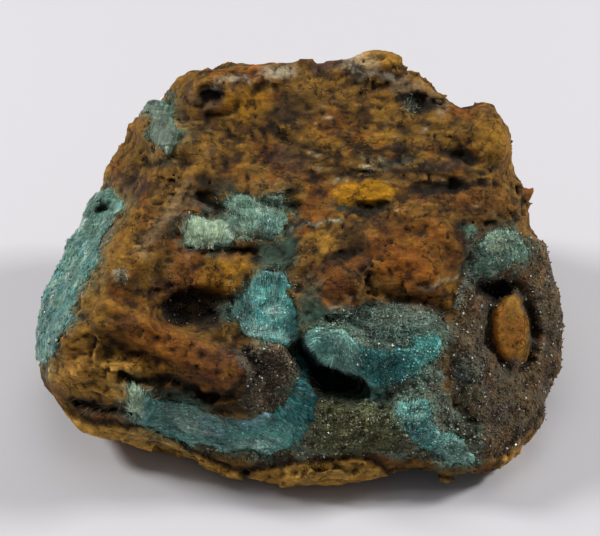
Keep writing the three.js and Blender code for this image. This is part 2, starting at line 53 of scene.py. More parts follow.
MM = 0.001
TO_ORIGIN = np.array([0.099, -0.472, 0.0])    # from the field's frame to the part's
BOX_LOW = np.array([-36.0, -28.0, -1.5])      # corners of the grid that samples the field
BOX_HIGH = np.array([36.0, 28.0, 40.0])
STONE_CELLS = ((0.4, 0.33, 0.46), (0.4, 0.66, 0.38))  # its cells at the low and high ends of X, Y and Z

VIEW_TILT = math.radians(42)                  # how far the photo's camera looks down
VIEW_DISTANCE = 350.0
VIEW_CENTRE = np.array([0, -2, 18.4])
VIEW_WIDTH = 75.0                             # what the picture spans at the view centre

OUTLINE_GROWTH = 0.35                         # makes up for what the rounding takes off
OUTLINE_ROUNDING = 2.4                        # how softly the outlines run into each other
FACE_ROUNDING = 1.2                           # and the broken faces into the rest
RELIEF_BACK = -9.0                            # towards the viewer, the front's relief starts here ...
RELIEF_FRONT = -4.0                           # ... and is whole from here
PAINT_BACK = RELIEF_BACK - 3.0                # the front's paint starts a little further back
CRUST_BACK = RELIEF_BACK + 1.5                # and the crusts a little further forward

FRONT_OUTLINE = [
    (-16.6, 22), (-12.2, 24.8), (-4.2, 25.2), (1.4, 26.4), (4.6, 27.3), (9.2, 28.2), (11.2, 26.2),
    (13.6, 24.2), (17.2, 21.4), (19.9, 19.8), (23.6, 20.4), (25.5, 19.1), (26.4, 15.4), (25.4, 13.4),
    (26.2, 11), (28.2, 9.4), (27.9, 5), (29.5, 2.2), (30.2, -0.6), (31.8, -3.8), (33, -7.4), (33.3, -11.6),
    (31.2, -13.5), (31.5, -16.4), (29, -19.8), (26.7, -22.9), (23, -26), (20.4, -28), (9.6, -28.1),
    (-2.9, -27.8), (-8.9, -26.9), (-13, -24), (-17.9, -22.6), (-21.8, -22.9), (-26, -21.7), (-30.8, -16.3),
    (-31.7, -14), (-32.6, -9.2), (-33.2, -5.9), (-32, -2), (-31.1, 2.1), (-29.4, 5), (-26.7, 8.7),
    (-24.1, 10.2), (-23.5, 12.6), (-21.2, 15.6), (-20.4, 19.2), (-18.5, 21.2),
]
SIDE_OUTLINE = [
    (-14.5, -4), (-17.8, 0), (-22.6, 1.6), (-24.4, 4.6), (-23, 9.6), (-19.6, 15.6), (-15, 20.8), (-8.4, 25),
    (1, 28.2), (9, 32), (15, 35.8), (20.5, 38.8), (24.6, 37), (26, 26), (24.2, 11), (19, 0), (16, -4),
]
TOP_OUTLINE = [
    (-29, -15.5), (-20, -20), (-6, -23.4), (8, -25), (21, -24.6), (30, -17), (34.2, -7), (33, 5), (30, 15),
    (21, 22.6), (6, 25.6), (-10, 24.8), (-22, 20), (-30.5, 9.5), (-34.4, -3),
]
# Broken faces: a point on the face and the way it looks.
BROKEN_FACES = [
    ((-22, 0, 25.2), (-0.62, -0.08, 0.78)), ((-29, -6, 3), (-0.62, -0.25, -0.74)),
    ((-24, -17.5, 4), (-0.45, -0.6, -0.66)), ((25.6, -9.1, 17.1), (0.56, -0.58, 0.59)),
    ((30.6, 6.2, 21), (0.86, 0.12, 0.5)), ((31, 0, 4), (0.72, 0.1, -0.69)),
    ((20, 20.2, 23.6), (0.48, 0.78, 0.4)), ((-17.8, 21.6, 22.3), (-0.42, 0.82, 0.39)),
    ((0, 22.5, 4.4), (0.05, 0.8, -0.6)), ((-27.1, 8.8, 3.5), (-0.75, 0.62, -0.22)),
    ((-27.8, 7.8, 15.3), (-0.94, 0.33, 0.12)), ((-11.6, 22.8, 21.2), (-0.22, 0.96, 0.15)),
    ((13.9, 23, 13.3), (0.3, 0.95, -0.08)), ((6.3, 20.6, 32), (0.1, 0.86, 0.5)),
    ((24.1, 15.2, 4.1), (0.66, 0.7, -0.28)), ((28.2, 13.4, 15.6), (0.93, 0.36, -0.05)),
    ((-28.2, 7.7, 3.7), (-0.55, 0.4, -0.73)), ((24, 15, 3.9), (0.45, 0.55, -0.7)),
]
# Knobs and hollows of the sides and back: centre, radius, height.
ROUND_FORMS = [
    ((-12, 22, 22), 9, 2), ((6, 24, 26), 8, -2.2), ((12, 23, 14), 9, 2.2), ((-4, 22, 9), 8, -1.8),
    ((-20, 17, 12), 8, 1.8), ((24, 14, 14), 8, -2), ((32, 2, 14), 7, 0.8), ((27, -14, 6), 6, 1.4),
    ((-30, 6, 10), 7, -1.8), ((-27, -9, 4), 6, 1.5), ((2, -22, 3), 6, 0.5),
]
# Front relief that the crusts follow: ellipses (centre, radii, turn in degrees, height, soft edge) and
# ridges (chain, half width, height, soft edge), placed in the front view.
LUMPS = [
    ((-4.2, -13.8), (5.2, 4.8), 0, 1.6, 3), ((4.4, -10.2), (4.8, 3), -25, 1.8, 2.6),
    ((11.5, -8.2), (6, 3.4), 0, 1.2, 2.4), ((14.4, -18.4), (2.8, 2.8), 0, 1.2, 2.2),
    ((9.5, -20.5), (7, 3), 0, 0.8, 2.4), ((4.4, -2.6), (3.2, 3.2), 0, 1.2, 2.2),
    ((13.8, 2.4), (6, 5.4), 0, 1, 3), ((8.1, 9.5), (4.6, 1.5), 4, 0.9, 1.2),
    ((9.8, 25.9), (3.6, 1.8), 0, 1, 1.6), ((24.2, 16.9), (2.6, 3.4), 0, 1, 2),
    ((26.4, -7.6), (2.3, 4.6), 3, 2, 1.2), ((25.8, 2.2), (3.6, 2.8), 0, 1.3, 2),
    ((-18, 17.4), (2.4, 3.6), 28, 1.6, 2), ((-9.2, 5.8), (5.6, 2.8), 0, 0.9, 1.8),
    ((-11.3, 22), (3, 2.2), 0, 1, 1.8), ((-24, -16.2), (6, 4.4), 0, 1, 3),
]
RIDGES = [
    ([(-13.5, 14.5), (-17.5, 8), (-22.5, 1), (-27, -7), (-29.5, -13)], 3, 1.5, 3),
    ([(-24, -6), (-16, -9.6), (-8.2, -13)], 2, 1.9, 1.4), ([(-3.6, -1.4), (-3.8, -9)], 2.2, 1, 1.8),
    ([(-13, 11.4), (-8, 9.8), (0, 9.8)], 1.6, 0.9, 1.6),
]
HOLLOW_FLOOR = (
    [(-7, -0.4), (-2, -0.6), (0.8, -6.6), (5.2, -6.4), (12, -3.4), (18.6, -4.6), (20, -11), (21.5, -20),
    (20.8, -25), (9, -23), (-2, -23.4), (-11, -22.4), (-19, -19), (-18.4, -15), (-9, -15.8), (-7, -12.6),
    (-9.4, -7.6)], -1.3, 3.6,
)
# Pits and grooves that break through the crusts too, as the lumps and ridges are given.
PITS = [
    ((-13.1, -5.2), (4.3, 2.3), 12, -3.4, 2.4), ((26.2, -7.4), (3.3, 5.6), 3, -1.9, 1.8),
    ((24.1, -2.6), (1.9, 1.2), 0, -2.2, 1.4), ((14.8, 20.6), (2.6, 1.2), -8, -1.3, 1.4),
    ((20.1, 13.9), (2.2, 0.7), -24, -0.9, 1.2), ((17.9, 10.1), (3.2, 0.8), 5, -0.9, 1.2),
    ((-11.1, 21.4), (1.4, 0.9), 0, -1.4, 1.4), ((-24.3, 7.5), (0.9, 0.8), 0, -1.6, 1),
    ((-11, 7), (1.7, 1.2), 0, -1, 1), ((-3.2, 1.6), (2.2, 1.8), 0, -0.6, 3),
]
GROOVES = [
    ([(-27.5, -18.6), (-25.6, -19.2), (-20.1, -19.6), (-15.9, -21), (-12, -23.4), (-6.8, -25.2),
    (-1.5, -24.4), (4.6, -23.6), (8.8, -23.8), (10.9, -25.1), (17.9, -26), (23, -26.2)], 0.3, -0.5, 1),
    ([(-22.4, -13.2), (-20.6, -14), (-19.2, -14.3), (-16.6, -13.8), (-14.4, -14.4), (-12.6, -15.5),
    (-10.6, -15.9), (-8.6, -15.5), (-7.2, -14.2)], 0.35, -1.9, 1.2),
    ([(-28, -16.6), (-24.4, -17.4), (-20.4, -18)], 0.4, -1.2, 1),
    ([(-15.2, 2.4), (-10.4, 1.9), (-5.8, 2.4)], 0.2, -0.9, 0.8),
    ([(6.8, 24.9), (12.8, 24.9)], 0.2, -0.9, 0.8),
    ([(-20, 14), (-18.6, 12.9), (-16, 13.6), (-15, 16.4)], 0.3, -1, 0.9),
]
DARK_PITS = PITS[2:8]         # those whose floors get painted shade
# grooves that get painted shade along them
DARK_GROOVES = GROOVES[1:5]
VOID = [
    (-0.2, -9.8), (1.6, -12.2), (4.2, -13.3), (6.4, -14), (7, -14.9), (5.2, -15.2), (3, -15.2),
    (1.7, -13.6),
]
VOID_BACK = -3.5
VOID_TAPER = 0.12
VOID_ROUNDING = 0.8

# ---- Distances, blends and noise ----


def segment_distance(x, y, start, end):
    ux, uy = end[0] - start[0], end[1] - start[1]
    along = np.clip(((x - start[0]) * ux + (y - start[1]) * uy) / (ux * ux + uy * uy), 0, 1)
    return np.hypot(x - start[0] - along * ux, y - start[1] - along * uy)


def outline_distance(x, y, outline):
    """Signed distance to a closed outline, negative inside."""
    nearest = np.full(np.shape(x), np.inf)
    inside = np.zeros(np.shape(x), bool)
    for start, end in zip(outline, outline[1:] + outline[:1]):
        nearest = np.minimum(nearest, segment_distance(x, y, start, end))
        if start[1] != end[1]:
            spans = (start[1] > y) != (end[1] > y)
            inside ^= spans & (x < (end[0] - start[0]) * (y - start[1]) / (end[1] - start[1]) + start[0])
    return np.where(inside, -nearest, nearest)


def chain_distance(x, y, chain):
    return np.minimum.reduce([segment_distance(x, y, a, b) for a, b in zip(chain, chain[1:])])


def ellipse_distance(x, y, centre, radii, turn=0.0):
    angle = math.radians(turn)
    along = (x - centre[0]) * math.cos(angle) + (y - centre[1]) * math.sin(angle)
    across = -(x - centre[0]) * math.sin(angle) + (y - centre[1]) * math.cos(angle)
    return (np.hypot(along / radii[0], across / radii[1]) - 1) * min(radii)


def smoothstep(value, low, high):
    share = np.clip((value - low) / (high - low), 0, 1)
    return share * share * (3 - 2 * share)


def coverage(distance, soft):
    """1 well inside an area, 0 outside, with a smooth edge."""
    return smoothstep(-distance, -soft / 2, soft / 2)


def soft_max(a, b, width):
    overlap = np.maximum(width - np.abs(a - b), 0) / width
    return np.maximum(a, b) + overlap * overlap * width / 4


def make_gradients():
    vectors = np.random.RandomState(7).normal(size=(256, 3))
    return (vectors / np.linalg.norm(vectors, axis=1, keepdims=True)).astype(np.float32)


GRADIENTS = make_gradients()
NOISE_GAIN = 1.6          # brings the noise up to about -1 to 1


def lattice_hash(cell, seed):
    mixed = cell[:, 0] * 73856093 ^ cell[:, 1] * 19349663 ^ cell[:, 2] * 83492791 ^ (seed * 2654435)
    mixed ^= mixed >> 13
    mixed *= 1274126177
    return (mixed ^ (mixed >> 16)) & 255


def noise(points, wavelength, seed):
    """Smooth gradient noise from about -1 to 1."""
    place = np.asarray(points, np.float32) / np.asarray(wavelength, np.float32)
    cell = np.floor(place).astype(np.int64)
    local = place - cell
    fade = local * local * local * (local * (local * 6 - 15) + 10)
    total = np.zeros(len(place), np.float32)
    for corner in range(8):
        offset = np.array([corner & 1, corner >> 1 & 1, corner >> 2 & 1])
        weight = np.prod(np.where(offset, fade, 1 - fade), axis=1)
        gradient = GRADIENTS[lattice_hash(cell + offset, seed)]
        total += weight * np.einsum("ij,ij->i", gradient, local - offset)
    return total * NOISE_GAIN


def fractal(points, wavelength, octaves, seed, gain=0.5):
    total, size = 0.0, 1.0
    for octave in range(octaves):
        total = total + size * noise(points, np.asarray(wavelength) / 2 ** octave, seed + octave * 17)
        size *= gain
    return total


def cell_noise(points, wavelength, seed):
    """Distance to the nearest of scattered points, and that point's own random number."""
    place = np.asarray(points, np.float32) / np.asarray(wavelength, np.float32)
    cell = np.floor(place).astype(np.int64)
    nearest = np.full(len(place), 9.0, np.float32)
    chance = np.zeros(len(place), np.float32)
    for i in range(27):
        neighbour = cell + np.array([i % 3 - 1, i // 3 % 3 - 1, i // 9 - 1])
        pick = [lattice_hash(neighbour, seed + axis) / 255.0 for axis in range(3)]
        gap = np.sqrt(sum((neighbour[:, axis] + pick[axis] - place[:, axis]) ** 2 for axis in range(3)))
        closer = gap < nearest
        chance = np.where(closer, (pick[0] * 7.31 + pick[1] * 3.17) % 1.0, chance)
        nearest = np.where(closer, gap, nearest)
    return nearest, chance


# ---- The front view, maps over it, and the field ----

MAP_STEP = 0.1
MAP_U = np.arange(-37.0, 37.0, MAP_STEP)
MAP_V = np.arange(-32.0, 32.0, MAP_STEP)
MAP_GRID = np.meshgrid(MAP_U, MAP_V, indexing="ij")


def to_front_view(x, y, z):
    back, up = y - VIEW_CENTRE[1], z - VIEW_CENTRE[2]
    near = -back * math.cos(VIEW_TILT) + up * math.sin(VIEW_TILT)
    scale = VIEW_DISTANCE / (VIEW_DISTANCE - near)
    rise = back * math.sin(VIEW_TILT) + up * math.cos(VIEW_TILT)
    return (x - VIEW_CENTRE[0]) * scale, rise * scale, near


def from_front_view(u, v, near):
    scale = VIEW_DISTANCE / (VIEW_DISTANCE - near)
    rise = v / scale
    return np.stack([VIEW_CENTRE[0] + u / scale,
                     VIEW_CENTRE[1] + rise * math.sin(VIEW_TILT) - near * math.cos(VIEW_TILT),
                     VIEW_CENTRE[2] + rise * math.cos(VIEW_TILT) + near * math.sin(VIEW_TILT)], axis=-1)


def look_up(view_map, u, v):
    """A map's value at front view places, blended between its samples."""
    across = np.clip((u - MAP_U[0]) / MAP_STEP, 0, len(MAP_U) - 1.001)
    upward = np.clip((v - MAP_V[0]) / MAP_STEP, 0, len(MAP_V) - 1.001)
    i, j = across.astype(int), upward.astype(int)
    s, t = across - i, upward - j
    return (view_map[i, j] * (1 - s) * (1 - t) + view_map[i + 1, j] * s * (1 - t)
            + view_map[i, j + 1] * (1 - s) * t + view_map[i + 1, j + 1] * s * t)


def relief_map(ellipses, chains, warp=(0, 0)):
    u, v = MAP_GRID[0] + warp[0], MAP_GRID[1] + warp[1]
    height = np.zeros(u.shape)
    for centre, radii, turn, rise, soft in ellipses:
        height += rise * coverage(ellipse_distance(u, v, centre, radii, turn), soft)
    for chain, half_width, rise, soft in chains:
        height += rise * coverage(chain_distance(u, v, chain) - half_width, soft)
    return height


def unevenness(x, y, z):
    """The same slow waves as the part's (mm outward)."""
    slow = np.sin(x / 4.1 + 1.3) * np.sin(y / 3.7 + z / 6.1) + np.sin(z / 3.3 - x / 7.0 + 0.4)
    quick = np.sin(x / 1.9 + y / 2.6) * np.sin(z / 2.1 + y / 3.1 + 2.0)
    return 0.35 * slow + 0.25 * quick


def grid_lines(axis, low_cell, high_cell):
    span = BOX_HIGH[axis] - BOX_LOW[axis]
    steps = round(2 * span / (low_cell + high_cell))
    lines = np.concatenate([[0.0], np.cumsum(np.linspace(low_cell, high_cell, steps))])
    lines = BOX_LOW[axis] + lines * span / lines[-1]
    if axis == 2:
        lines -= lines[np.argmin(np.abs(lines))]     # one line lies on the floor
    return lines


def block_field(x, y, z, outline_map, broad_map):
    """The stone before anything is broken out of its front; x, y and z are open grid axes."""
    u, v, near = to_front_view(x, y, z)
    u, v = np.broadcast_arrays(u, v)
    field = look_up(outline_map, u, v) - OUTLINE_GROWTH
    field = soft_max(field, outline_distance(*np.broadcast_arrays(y, z), SIDE_OUTLINE), OUTLINE_ROUNDING)
    field = soft_max(field, outline_distance(*np.broadcast_arrays(x, y), TOP_OUTLINE), OUTLINE_ROUNDING)
    for point, looks in BROKEN_FACES:
        distance = looks[0] * (x - point[0]) + looks[1] * (y - point[1]) + looks[2] * (z - point[2])
        field = soft_max(field, distance, FACE_ROUNDING)
    for centre, radius, height in ROUND_FORMS:
        gap = np.sqrt((x - centre[0]) ** 2 + (y - centre[1]) ** 2 + (z - centre[2]) ** 2)
        field -= height * coverage(gap - radius / 2, radius)
    share = smoothstep(near, RELIEF_BACK, RELIEF_FRONT)
    return (field - share * look_up(broad_map, u, v) - unevenness(x, y, z)), u, v, near, share


# ---- Zones of the front, in the front view ----

CRUST_AREAS = {
    "front_hollow_crust": [
        [(-5, -0.4), (-2.2, -0.2), (-1.2, -2), (-0.8, -4.2), (-0.2, -6.8), (0, -9.1), (-0.8, -9.8),
         (0.4, -10.9), (1.5, -12.6), (2.1, -14.4), (2.1, -16.2), (1.9, -18.4), (1.2, -20.1), (0.2, -21.2),
         (-1.2, -22.6), (-4.8, -23.1), (-7.5, -23), (-10.8, -22.8), (-13.8, -22), (-16.5, -21.5),
         (-18.8, -20.5), (-20.6, -19.6), (-21.6, -17.5), (-21.6, -15), (-20.8, -14.5), (-19.8, -15),
         (-18.4, -16.2), (-15.5, -16.6), (-13.5, -17), (-12, -17.8), (-9.8, -18.8), (-7, -19),
         (-3.9, -17.9), (-2.1, -16.8), (-0.6, -14.9), (0, -13.5), (-0.4, -11.8), (-1.4, -10.2),
         (-2.6, -9.4), (-4.8, -9.2), (-6.4, -8.2), (-7.5, -7.2), (-8.6, -5.8), (-8.9, -4.2), (-8.5, -3.1),
         (-7, -3), (-6.2, -1.8)],
        [(0, -9.1), (0.5, -8.1), (1.4, -7.5), (3.1, -7.2), (4.9, -7.2), (6.5, -8.2), (7.4, -9.4),
         (9, -10.2), (11.5, -10.5), (13.6, -9.6), (14.5, -8.8), (16, -8.4), (17.5, -8.6), (17.8, -10.2),
         (17.2, -11.8), (15.8, -12.4), (15, -13.2), (13, -14.2), (11, -14.8), (9.1, -14.8), (7.1, -13.8),
         (4.6, -12.9), (3.2, -12.5), (1.8, -11.9), (0.5, -10.5)],
        [(12.5, -16.5), (14, -16.1), (15.5, -16.5), (16.6, -18), (16.5, -19.5), (17.8, -20.2), (19.5, -21),
         (21, -22), (21.8, -23.5), (21, -24.6), (19, -24.4), (17.2, -23.5), (15.5, -22.8), (13.8, -21.8),
         (12.8, -20.2), (12.2, -18.2)],
    ],
    "left_flank_crust": [[
        (-26.6, 8.8), (-25.6, 9.8), (-23.9, 10.2), (-21.9, 8.1), (-22.9, 6), (-23.9, 4.8), (-24.6, 2.2),
        (-25.8, 0), (-26.2, -1.5), (-27.8, -3.4), (-28.1, -4.6), (-28.9, -6.4), (-29.6, -8.5),
        (-30.2, -10.2), (-31.2, -11.1), (-31.5, -12.4), (-34, -12), (-36, -6.5), (-35, -2.8), (-33, 3.6),
        (-30, 8.4),
    ]],
    "upper_left_nodule": [[
        (-20.2, 20), (-19.2, 21.4), (-18.2, 21.6), (-16.4, 21.2), (-16.1, 19.9), (-15.9, 18.5),
        (-15.1, 17.6), (-15.1, 15.6), (-15.9, 14.5), (-16.4, 14.4), (-17.5, 14.9), (-18.8, 16.2),
        (-19, 17.6), (-19.1, 18.9), (-20.2, 19.4),
    ]],
    "upper_vein_crust": [[
        (-14.9, 4.5), (-14.6, 6.1), (-13.5, 7), (-12.5, 6.5), (-11, 6.1), (-9.6, 6.8), (-9.5, 8.5),
        (-7.5, 8.9), (-5.2, 8.9), (-2.2, 9), (-1.8, 7.5), (-1, 6.5), (-1.8, 4.8), (-2.5, 3.6), (-5.6, 3.6),
        (-7.5, 3.5), (-9.5, 2.6), (-11.4, 2.5), (-13.5, 2.5), (-14.6, 3.4),
    ]],
    "right_shoulder_crust": [[
        (22.6, 3.1), (23.5, 4), (25, 5), (26.8, 4.8), (28.2, 3.5), (28.6, 1.4), (26.9, 0.5), (24.4, -1),
        (22.2, -1.4), (21.1, -0.9), (21.8, 0.5), (22.5, 1.8),
    ]],
}
DRUSE = [
    (1.4, -7.5), (2.8, -6.2), (4.8, -5.2), (7.2, -4.8), (10, -4.4), (13.5, -4.4), (16.2, -4.8), (18, -5.8),
    (18.8, -7.8), (18.5, -10.5), (17.8, -12.2), (18, -14.8), (19, -17), (21.2, -19), (23.2, -21.5),
    (23, -24.2), (19.8, -24.5), (16.2, -24.2), (12.5, -23.8), (7.5, -23), (3.8, -23.5), (0, -24.2),
    (-1, -22.8), (0.5, -21.2), (1.5, -20), (2.2, -17.8), (2.5, -16), (4.2, -15.6), (7, -16), (9, -16.8),
    (11.2, -16.2), (10, -14.8),
]
OLIVE_DRUSE = [
    (2.5, -16.2), (5, -16.2), (7.8, -17), (10.5, -16.8), (12.5, -17.8), (13, -20.2), (12.5, -22.5),
    (9, -23.2), (5, -23.2), (2, -22.8), (1, -21.2), (2, -19),
]
BALL = [
    (-8.5, -10.5), (-6.2, -9.9), (-3.5, -9.9), (-1.2, -10.5), (0.1, -12.2), (0.2, -13.5), (-0.8, -15),
    (-2.1, -16.6), (-4, -17.8), (-6.2, -18), (-7.5, -16.8), (-6.8, -15), (-6.8, -12.8), (-7.8, -11.2),
]
NECK = [(-5.4, 3.5), (-0.5, 3.5), (-0.4, 1.5), (-1.2, -0.5), (-4.8, -0.6), (-5.5, 1.2)]
RIGHT_DRUSE = [
    (21.2, 4.5), (23.8, 5.2), (26.5, 5.2), (28.5, 4), (31, 3.4), (33, -0.2), (35, -4), (35.5, -11.5),
    (33.5, -14.5), (33, -17), (30.5, -19.4), (28, -21.6), (25.8, -23.4), (23.2, -24.2), (22.2, -21.5),
    (20.2, -18.5), (18.8, -16), (18.2, -13), (19, -10.2), (19.5, -6.5), (20.2, -3.5), (20.8, -0.5),
    (21.2, 2.2),
]
GOLDEN_LENS = [
    (26.9, -3.2), (27.8, -4.1), (28.5, -6.9), (28.9, -9.9), (28.4, -11.8), (26.4, -11.8), (24.6, -11.1),
    (23.9, -9.2), (23.6, -7.1), (23.9, -5.1), (25.4, -3.9),
]
TONGUE = [
    (-23.5, -4), (-20, -4), (-16.5, -7.2), (-13.8, -8.2), (-11, -9), (-9.8, -10.5), (-7.8, -11.2),
    (-6.8, -12.8), (-7.2, -14.2), (-8.5, -15.4), (-10.5, -15.8), (-12.5, -15.2), (-15, -13.8),
    (-18.8, -12.8), (-22, -11), (-24.2, -7.8),
]
DARK_PIT = [
    (-17.5, -4.8), (-16.2, -3.4), (-13.8, -2.8), (-11, -3), (-9, -4), (-8, -6), (-8.5, -7.5), (-10.8, -8),
    (-13.2, -7.5), (-15.5, -7), (-17, -6),
]
MUSTARD_LENS = [
    (3.9, 9.8), (5.6, 10.6), (8.1, 10.9), (10.6, 10.6), (12.2, 9.9), (12.4, 8.8), (10.6, 8.1), (8.1, 8),
    (5.6, 8.1), (4.1, 8.8),
]
RIND_SEAM = [
    (-29.8, -17.6), (-25.6, -19.2), (-23, -19.5), (-20.1, -19.6), (-17.8, -19.5), (-15.9, -21),
    (-14.2, -22.4), (-12, -23.4), (-9.4, -24.5), (-6.8, -25.8), (-5.1, -24.8), (-1.5, -24.4), (2.5, -24),
    (4.6, -23.6), (6.9, -23.4), (8.8, -23.8), (10.9, -25.1), (14.2, -25.5), (17.9, -26), (21.4, -26.8),
    (24, -25.4), (25, -23.4), (27.5, -20.8), (29.8, -18.4), (31.6, -16.6),
]
BEDDED_FACE = [(4, 22), (12, 22.5), (18, 19), (23, 15), (24, 8), (20, 6), (12, 6), (4, 7), (-2, 12)]
SMOOTH_LOBES = [(22.5, 20.4), (26.8, 19.5), (27, 15.5), (26.4, 13), (23.5, 13.2), (21.8, 16.5)]

CRUST_SOFT = 1.5       # widths over which crusts, the teal halos round them and smooth lobes fade
HALO_SOFT = 5.0
LOBE_SOFT = 3.2
BED_SOFT = 3.0

# Sprays of aurichalcite fibres: the place in the front view that they spread from, and their reach (mm).
SPRAYS = [
    ((-4, -11.5), 6), ((-7.6, -2.6), 3), ((-2.4, 0.6), 3),  # column
    ((-4.2, -13.8), 6), ((1.6, -23), 6.5), ((-16.5, -14.5), 6), ((-9, -25.5), 4.5),  # crescent and band
    ((-20.6, -20.6), 3.5),  # tear-drop
    ((5.8, -6.6), 5), ((11, -17.5), 5), ((9.6, -8.6), 2.5), ((17.8, -13), 4),  # fan and dark mass
    ((13.8, -21), 3.5), ((13, -18), 3), ((21.4, -25.6), 3.5),  # tuft
    ((-10, 40), 36),  # left flank
    ((-17.6, 22), 3), ((-16.6, 13.2), 3),  # nodule
    ((-12, -4), 9), ((-5.6, 1), 5.5), ((-3, 10.5), 3),  # vein
    ((25.4, -3), 4.5), ((22.6, 5.2), 3),  # shoulder
]

# ---- The stone's samples and their mesh ----


def area_map(area, soft, warp=(0, 0)):
    return coverage(outline_distance(MAP_GRID[0] + warp[0], MAP_GRID[1] + warp[1], area), soft)


def border_warp(wavelength, amount, seed):
    """Offsets over the front view that fray the borders of areas."""
    shape = MAP_GRID[0].shape
    flat = np.stack([MAP_GRID[0].ravel(), MAP_GRID[1].ravel(), np.zeros(MAP_GRID[0].size)], axis=1)
    return [amount * fractal(flat, wavelength, 3, seed + k * 31, 0.6).reshape(shape) for k in range(2)]


def any_of(area_maps):
    return np.maximum.reduce(list(area_maps))


class FrontMaps:
    """Everything about the front that the field and the paint look up."""

    def __init__(self):
        self.outline = outline_distance(*MAP_GRID, FRONT_OUTLINE)
        self.void = outline_distance(*MAP_GRID, VOID)
        floor_corners, floor_drop, floor_soft = HOLLOW_FLOOR
        self.broad = relief_map(LUMPS, RIDGES) + floor_drop * area_map(floor_corners, floor_soft)
        self.warp = warp = border_warp(2.6, 0.72, 3)
        self.sharp = relief_map(PITS, GROOVES, border_warp(2.8, 0.7, 5))
        lens = area_map(GOLDEN_LENS, 0.8)
        druse_areas = ((DRUSE, 0.8), (RIGHT_DRUSE, 1.0), (BALL, 0.6))
        self.druse = any_of(area_map(area, soft, warp) for area, soft in druse_areas) * (1 - lens)
        lobes = 0.65 * area_map(SMOOTH_LOBES, LOBE_SOFT, warp)
        self.smooth = any_of([lobes, area_map(MUSTARD_LENS, 0.6, warp), lens])
        self.bedded = area_map(BEDDED_FACE, BED_SOFT, warp)
        self.crusts = {name: any_of(area_map(area, CRUST_SOFT, warp) for area in areas)
                       for name, areas in CRUST_AREAS.items()}
        self.crust = any_of(self.crusts.values())
        self.halo = any_of(area_map(area, HALO_SOFT, warp)
                           for areas in CRUST_AREAS.values() for area in areas)


maps = FrontMaps()


def stone_samples(lines):
    """The smooth stone's field on a grid, and the front view places of its samples."""
    x, y, z = (line.reshape([-1 if axis == k else 1 for k in range(3)]) for axis, line in enumerate(lines))
    field, u, v, near, share = block_field(x, y, z, maps.outline, maps.broad)
    field = field - share * look_up(maps.sharp, u, v)
    near = np.broadcast_to(near, field.shape)
    hole = np.maximum(look_up(maps.void, u, v) - VOID_TAPER * (near - VOID_BACK), VOID_BACK - near)
    return soft_max(field, -hole, VOID_ROUNDING), u, v, near, np.broadcast_to(share, field.shape)


def grid_points(lines, pick):
    i, j, k = np.nonzero(pick)
    return np.stack([lines[0][i], lines[1][j], lines[2][k]], axis=1)


LEDGE_STRETCH = np.array([0.7, 0.85, 1.25])      # the ledges are longer along X and thin in Z
MOTTLE_STRETCH = np.array([0.5, 0.8, 1.3])       # and so are the dark mottles
# How far the limonite's forms stand out and how wide they are (mm).
SWELL_HEIGHT, SWELL_WIDTH = 0.45, 4.8
RIPPLE_HEIGHT, RIPPLE_WIDTH = 0.16, 1.5
LEDGE_HEIGHT, LEDGE_WIDTH, SMALL_LEDGE_WIDTH = 0.8, 4.2, 1.9
CREASE_DEPTH, CREASE_SPACING = 0.42, 2.7
CRUMB_HEIGHT, CRUMB_WIDTH = 0.09, 0.8
BED_HEIGHT, BED_THICKNESS, THIN_BED_THICKNESS = 0.42, 0.75, 0.36
DRUSE_HEIGHT, DRUSE_WIDTH = 0.4, 1.2


def bed_height(u, v, points):
    """How high each place lies across the slanting beds of the upper right face (mm)."""
    return v + 0.16 * u + 0.5 * noise(points, 5.0, 95)


def limonite_roughness(points, u, v, share):
    """Lumps, ledges, creases and crumbs of broken limonite (mm outward)."""
    bent = points + 0.8 * np.stack([noise(points, 3.4, seed) for seed in (31, 32, 33)], axis=1)
    drawn_out = bent * LEDGE_STRETCH
    ledges = cell_noise(drawn_out, LEDGE_WIDTH, 41)[1] - 0.75
    ledges = ledges + 0.5 * cell_noise(drawn_out, SMALL_LEDGE_WIDTH, 43)[1]
    creases = smoothstep(np.abs(noise(bent, CREASE_SPACING, 51)), 0.13, 0.0)
    rough = SWELL_HEIGHT * fractal(points, SWELL_WIDTH, 2, 11)
    rough = rough + RIPPLE_HEIGHT * fractal(bent, RIPPLE_WIDTH, 2, 13)
    rough = rough + LEDGE_HEIGHT * ledges - CREASE_DEPTH * creases
    bedded = share * look_up(maps.bedded, u, v)
    slanted = bed_height(u, v, points)
    beds = noise(np.stack([u / 3.6, slanted / BED_THICKNESS, u * 0], axis=1), 1.0, 91)
    beds = beds + 0.7 * noise(np.stack([u / 1.8, slanted / THIN_BED_THICKNESS, u * 0], axis=1), 1.0, 93)
    smooth = share * look_up(maps.smooth, u, v)
    druse = share * look_up(maps.druse, u, v)
    crumbs = CRUMB_HEIGHT * fractal(points, CRUMB_WIDTH, 2, 57)
    rough = rough * (1 - 0.6 * share * look_up(maps.crust, u, v))
    knobs = 0.5 - cell_noise(points, DRUSE_WIDTH, 67)[0]
    rough = rough * (1 - 0.8 * smooth) * (1 - 0.4 * druse) * (1 - 0.4 * bedded)
    return rough + crumbs * (1 - 0.6 * smooth) + BED_HEIGHT * bedded * beds + DRUSE_HEIGHT * druse * knobs


JUST_INSIDE = -0.02       # a field value (mm)


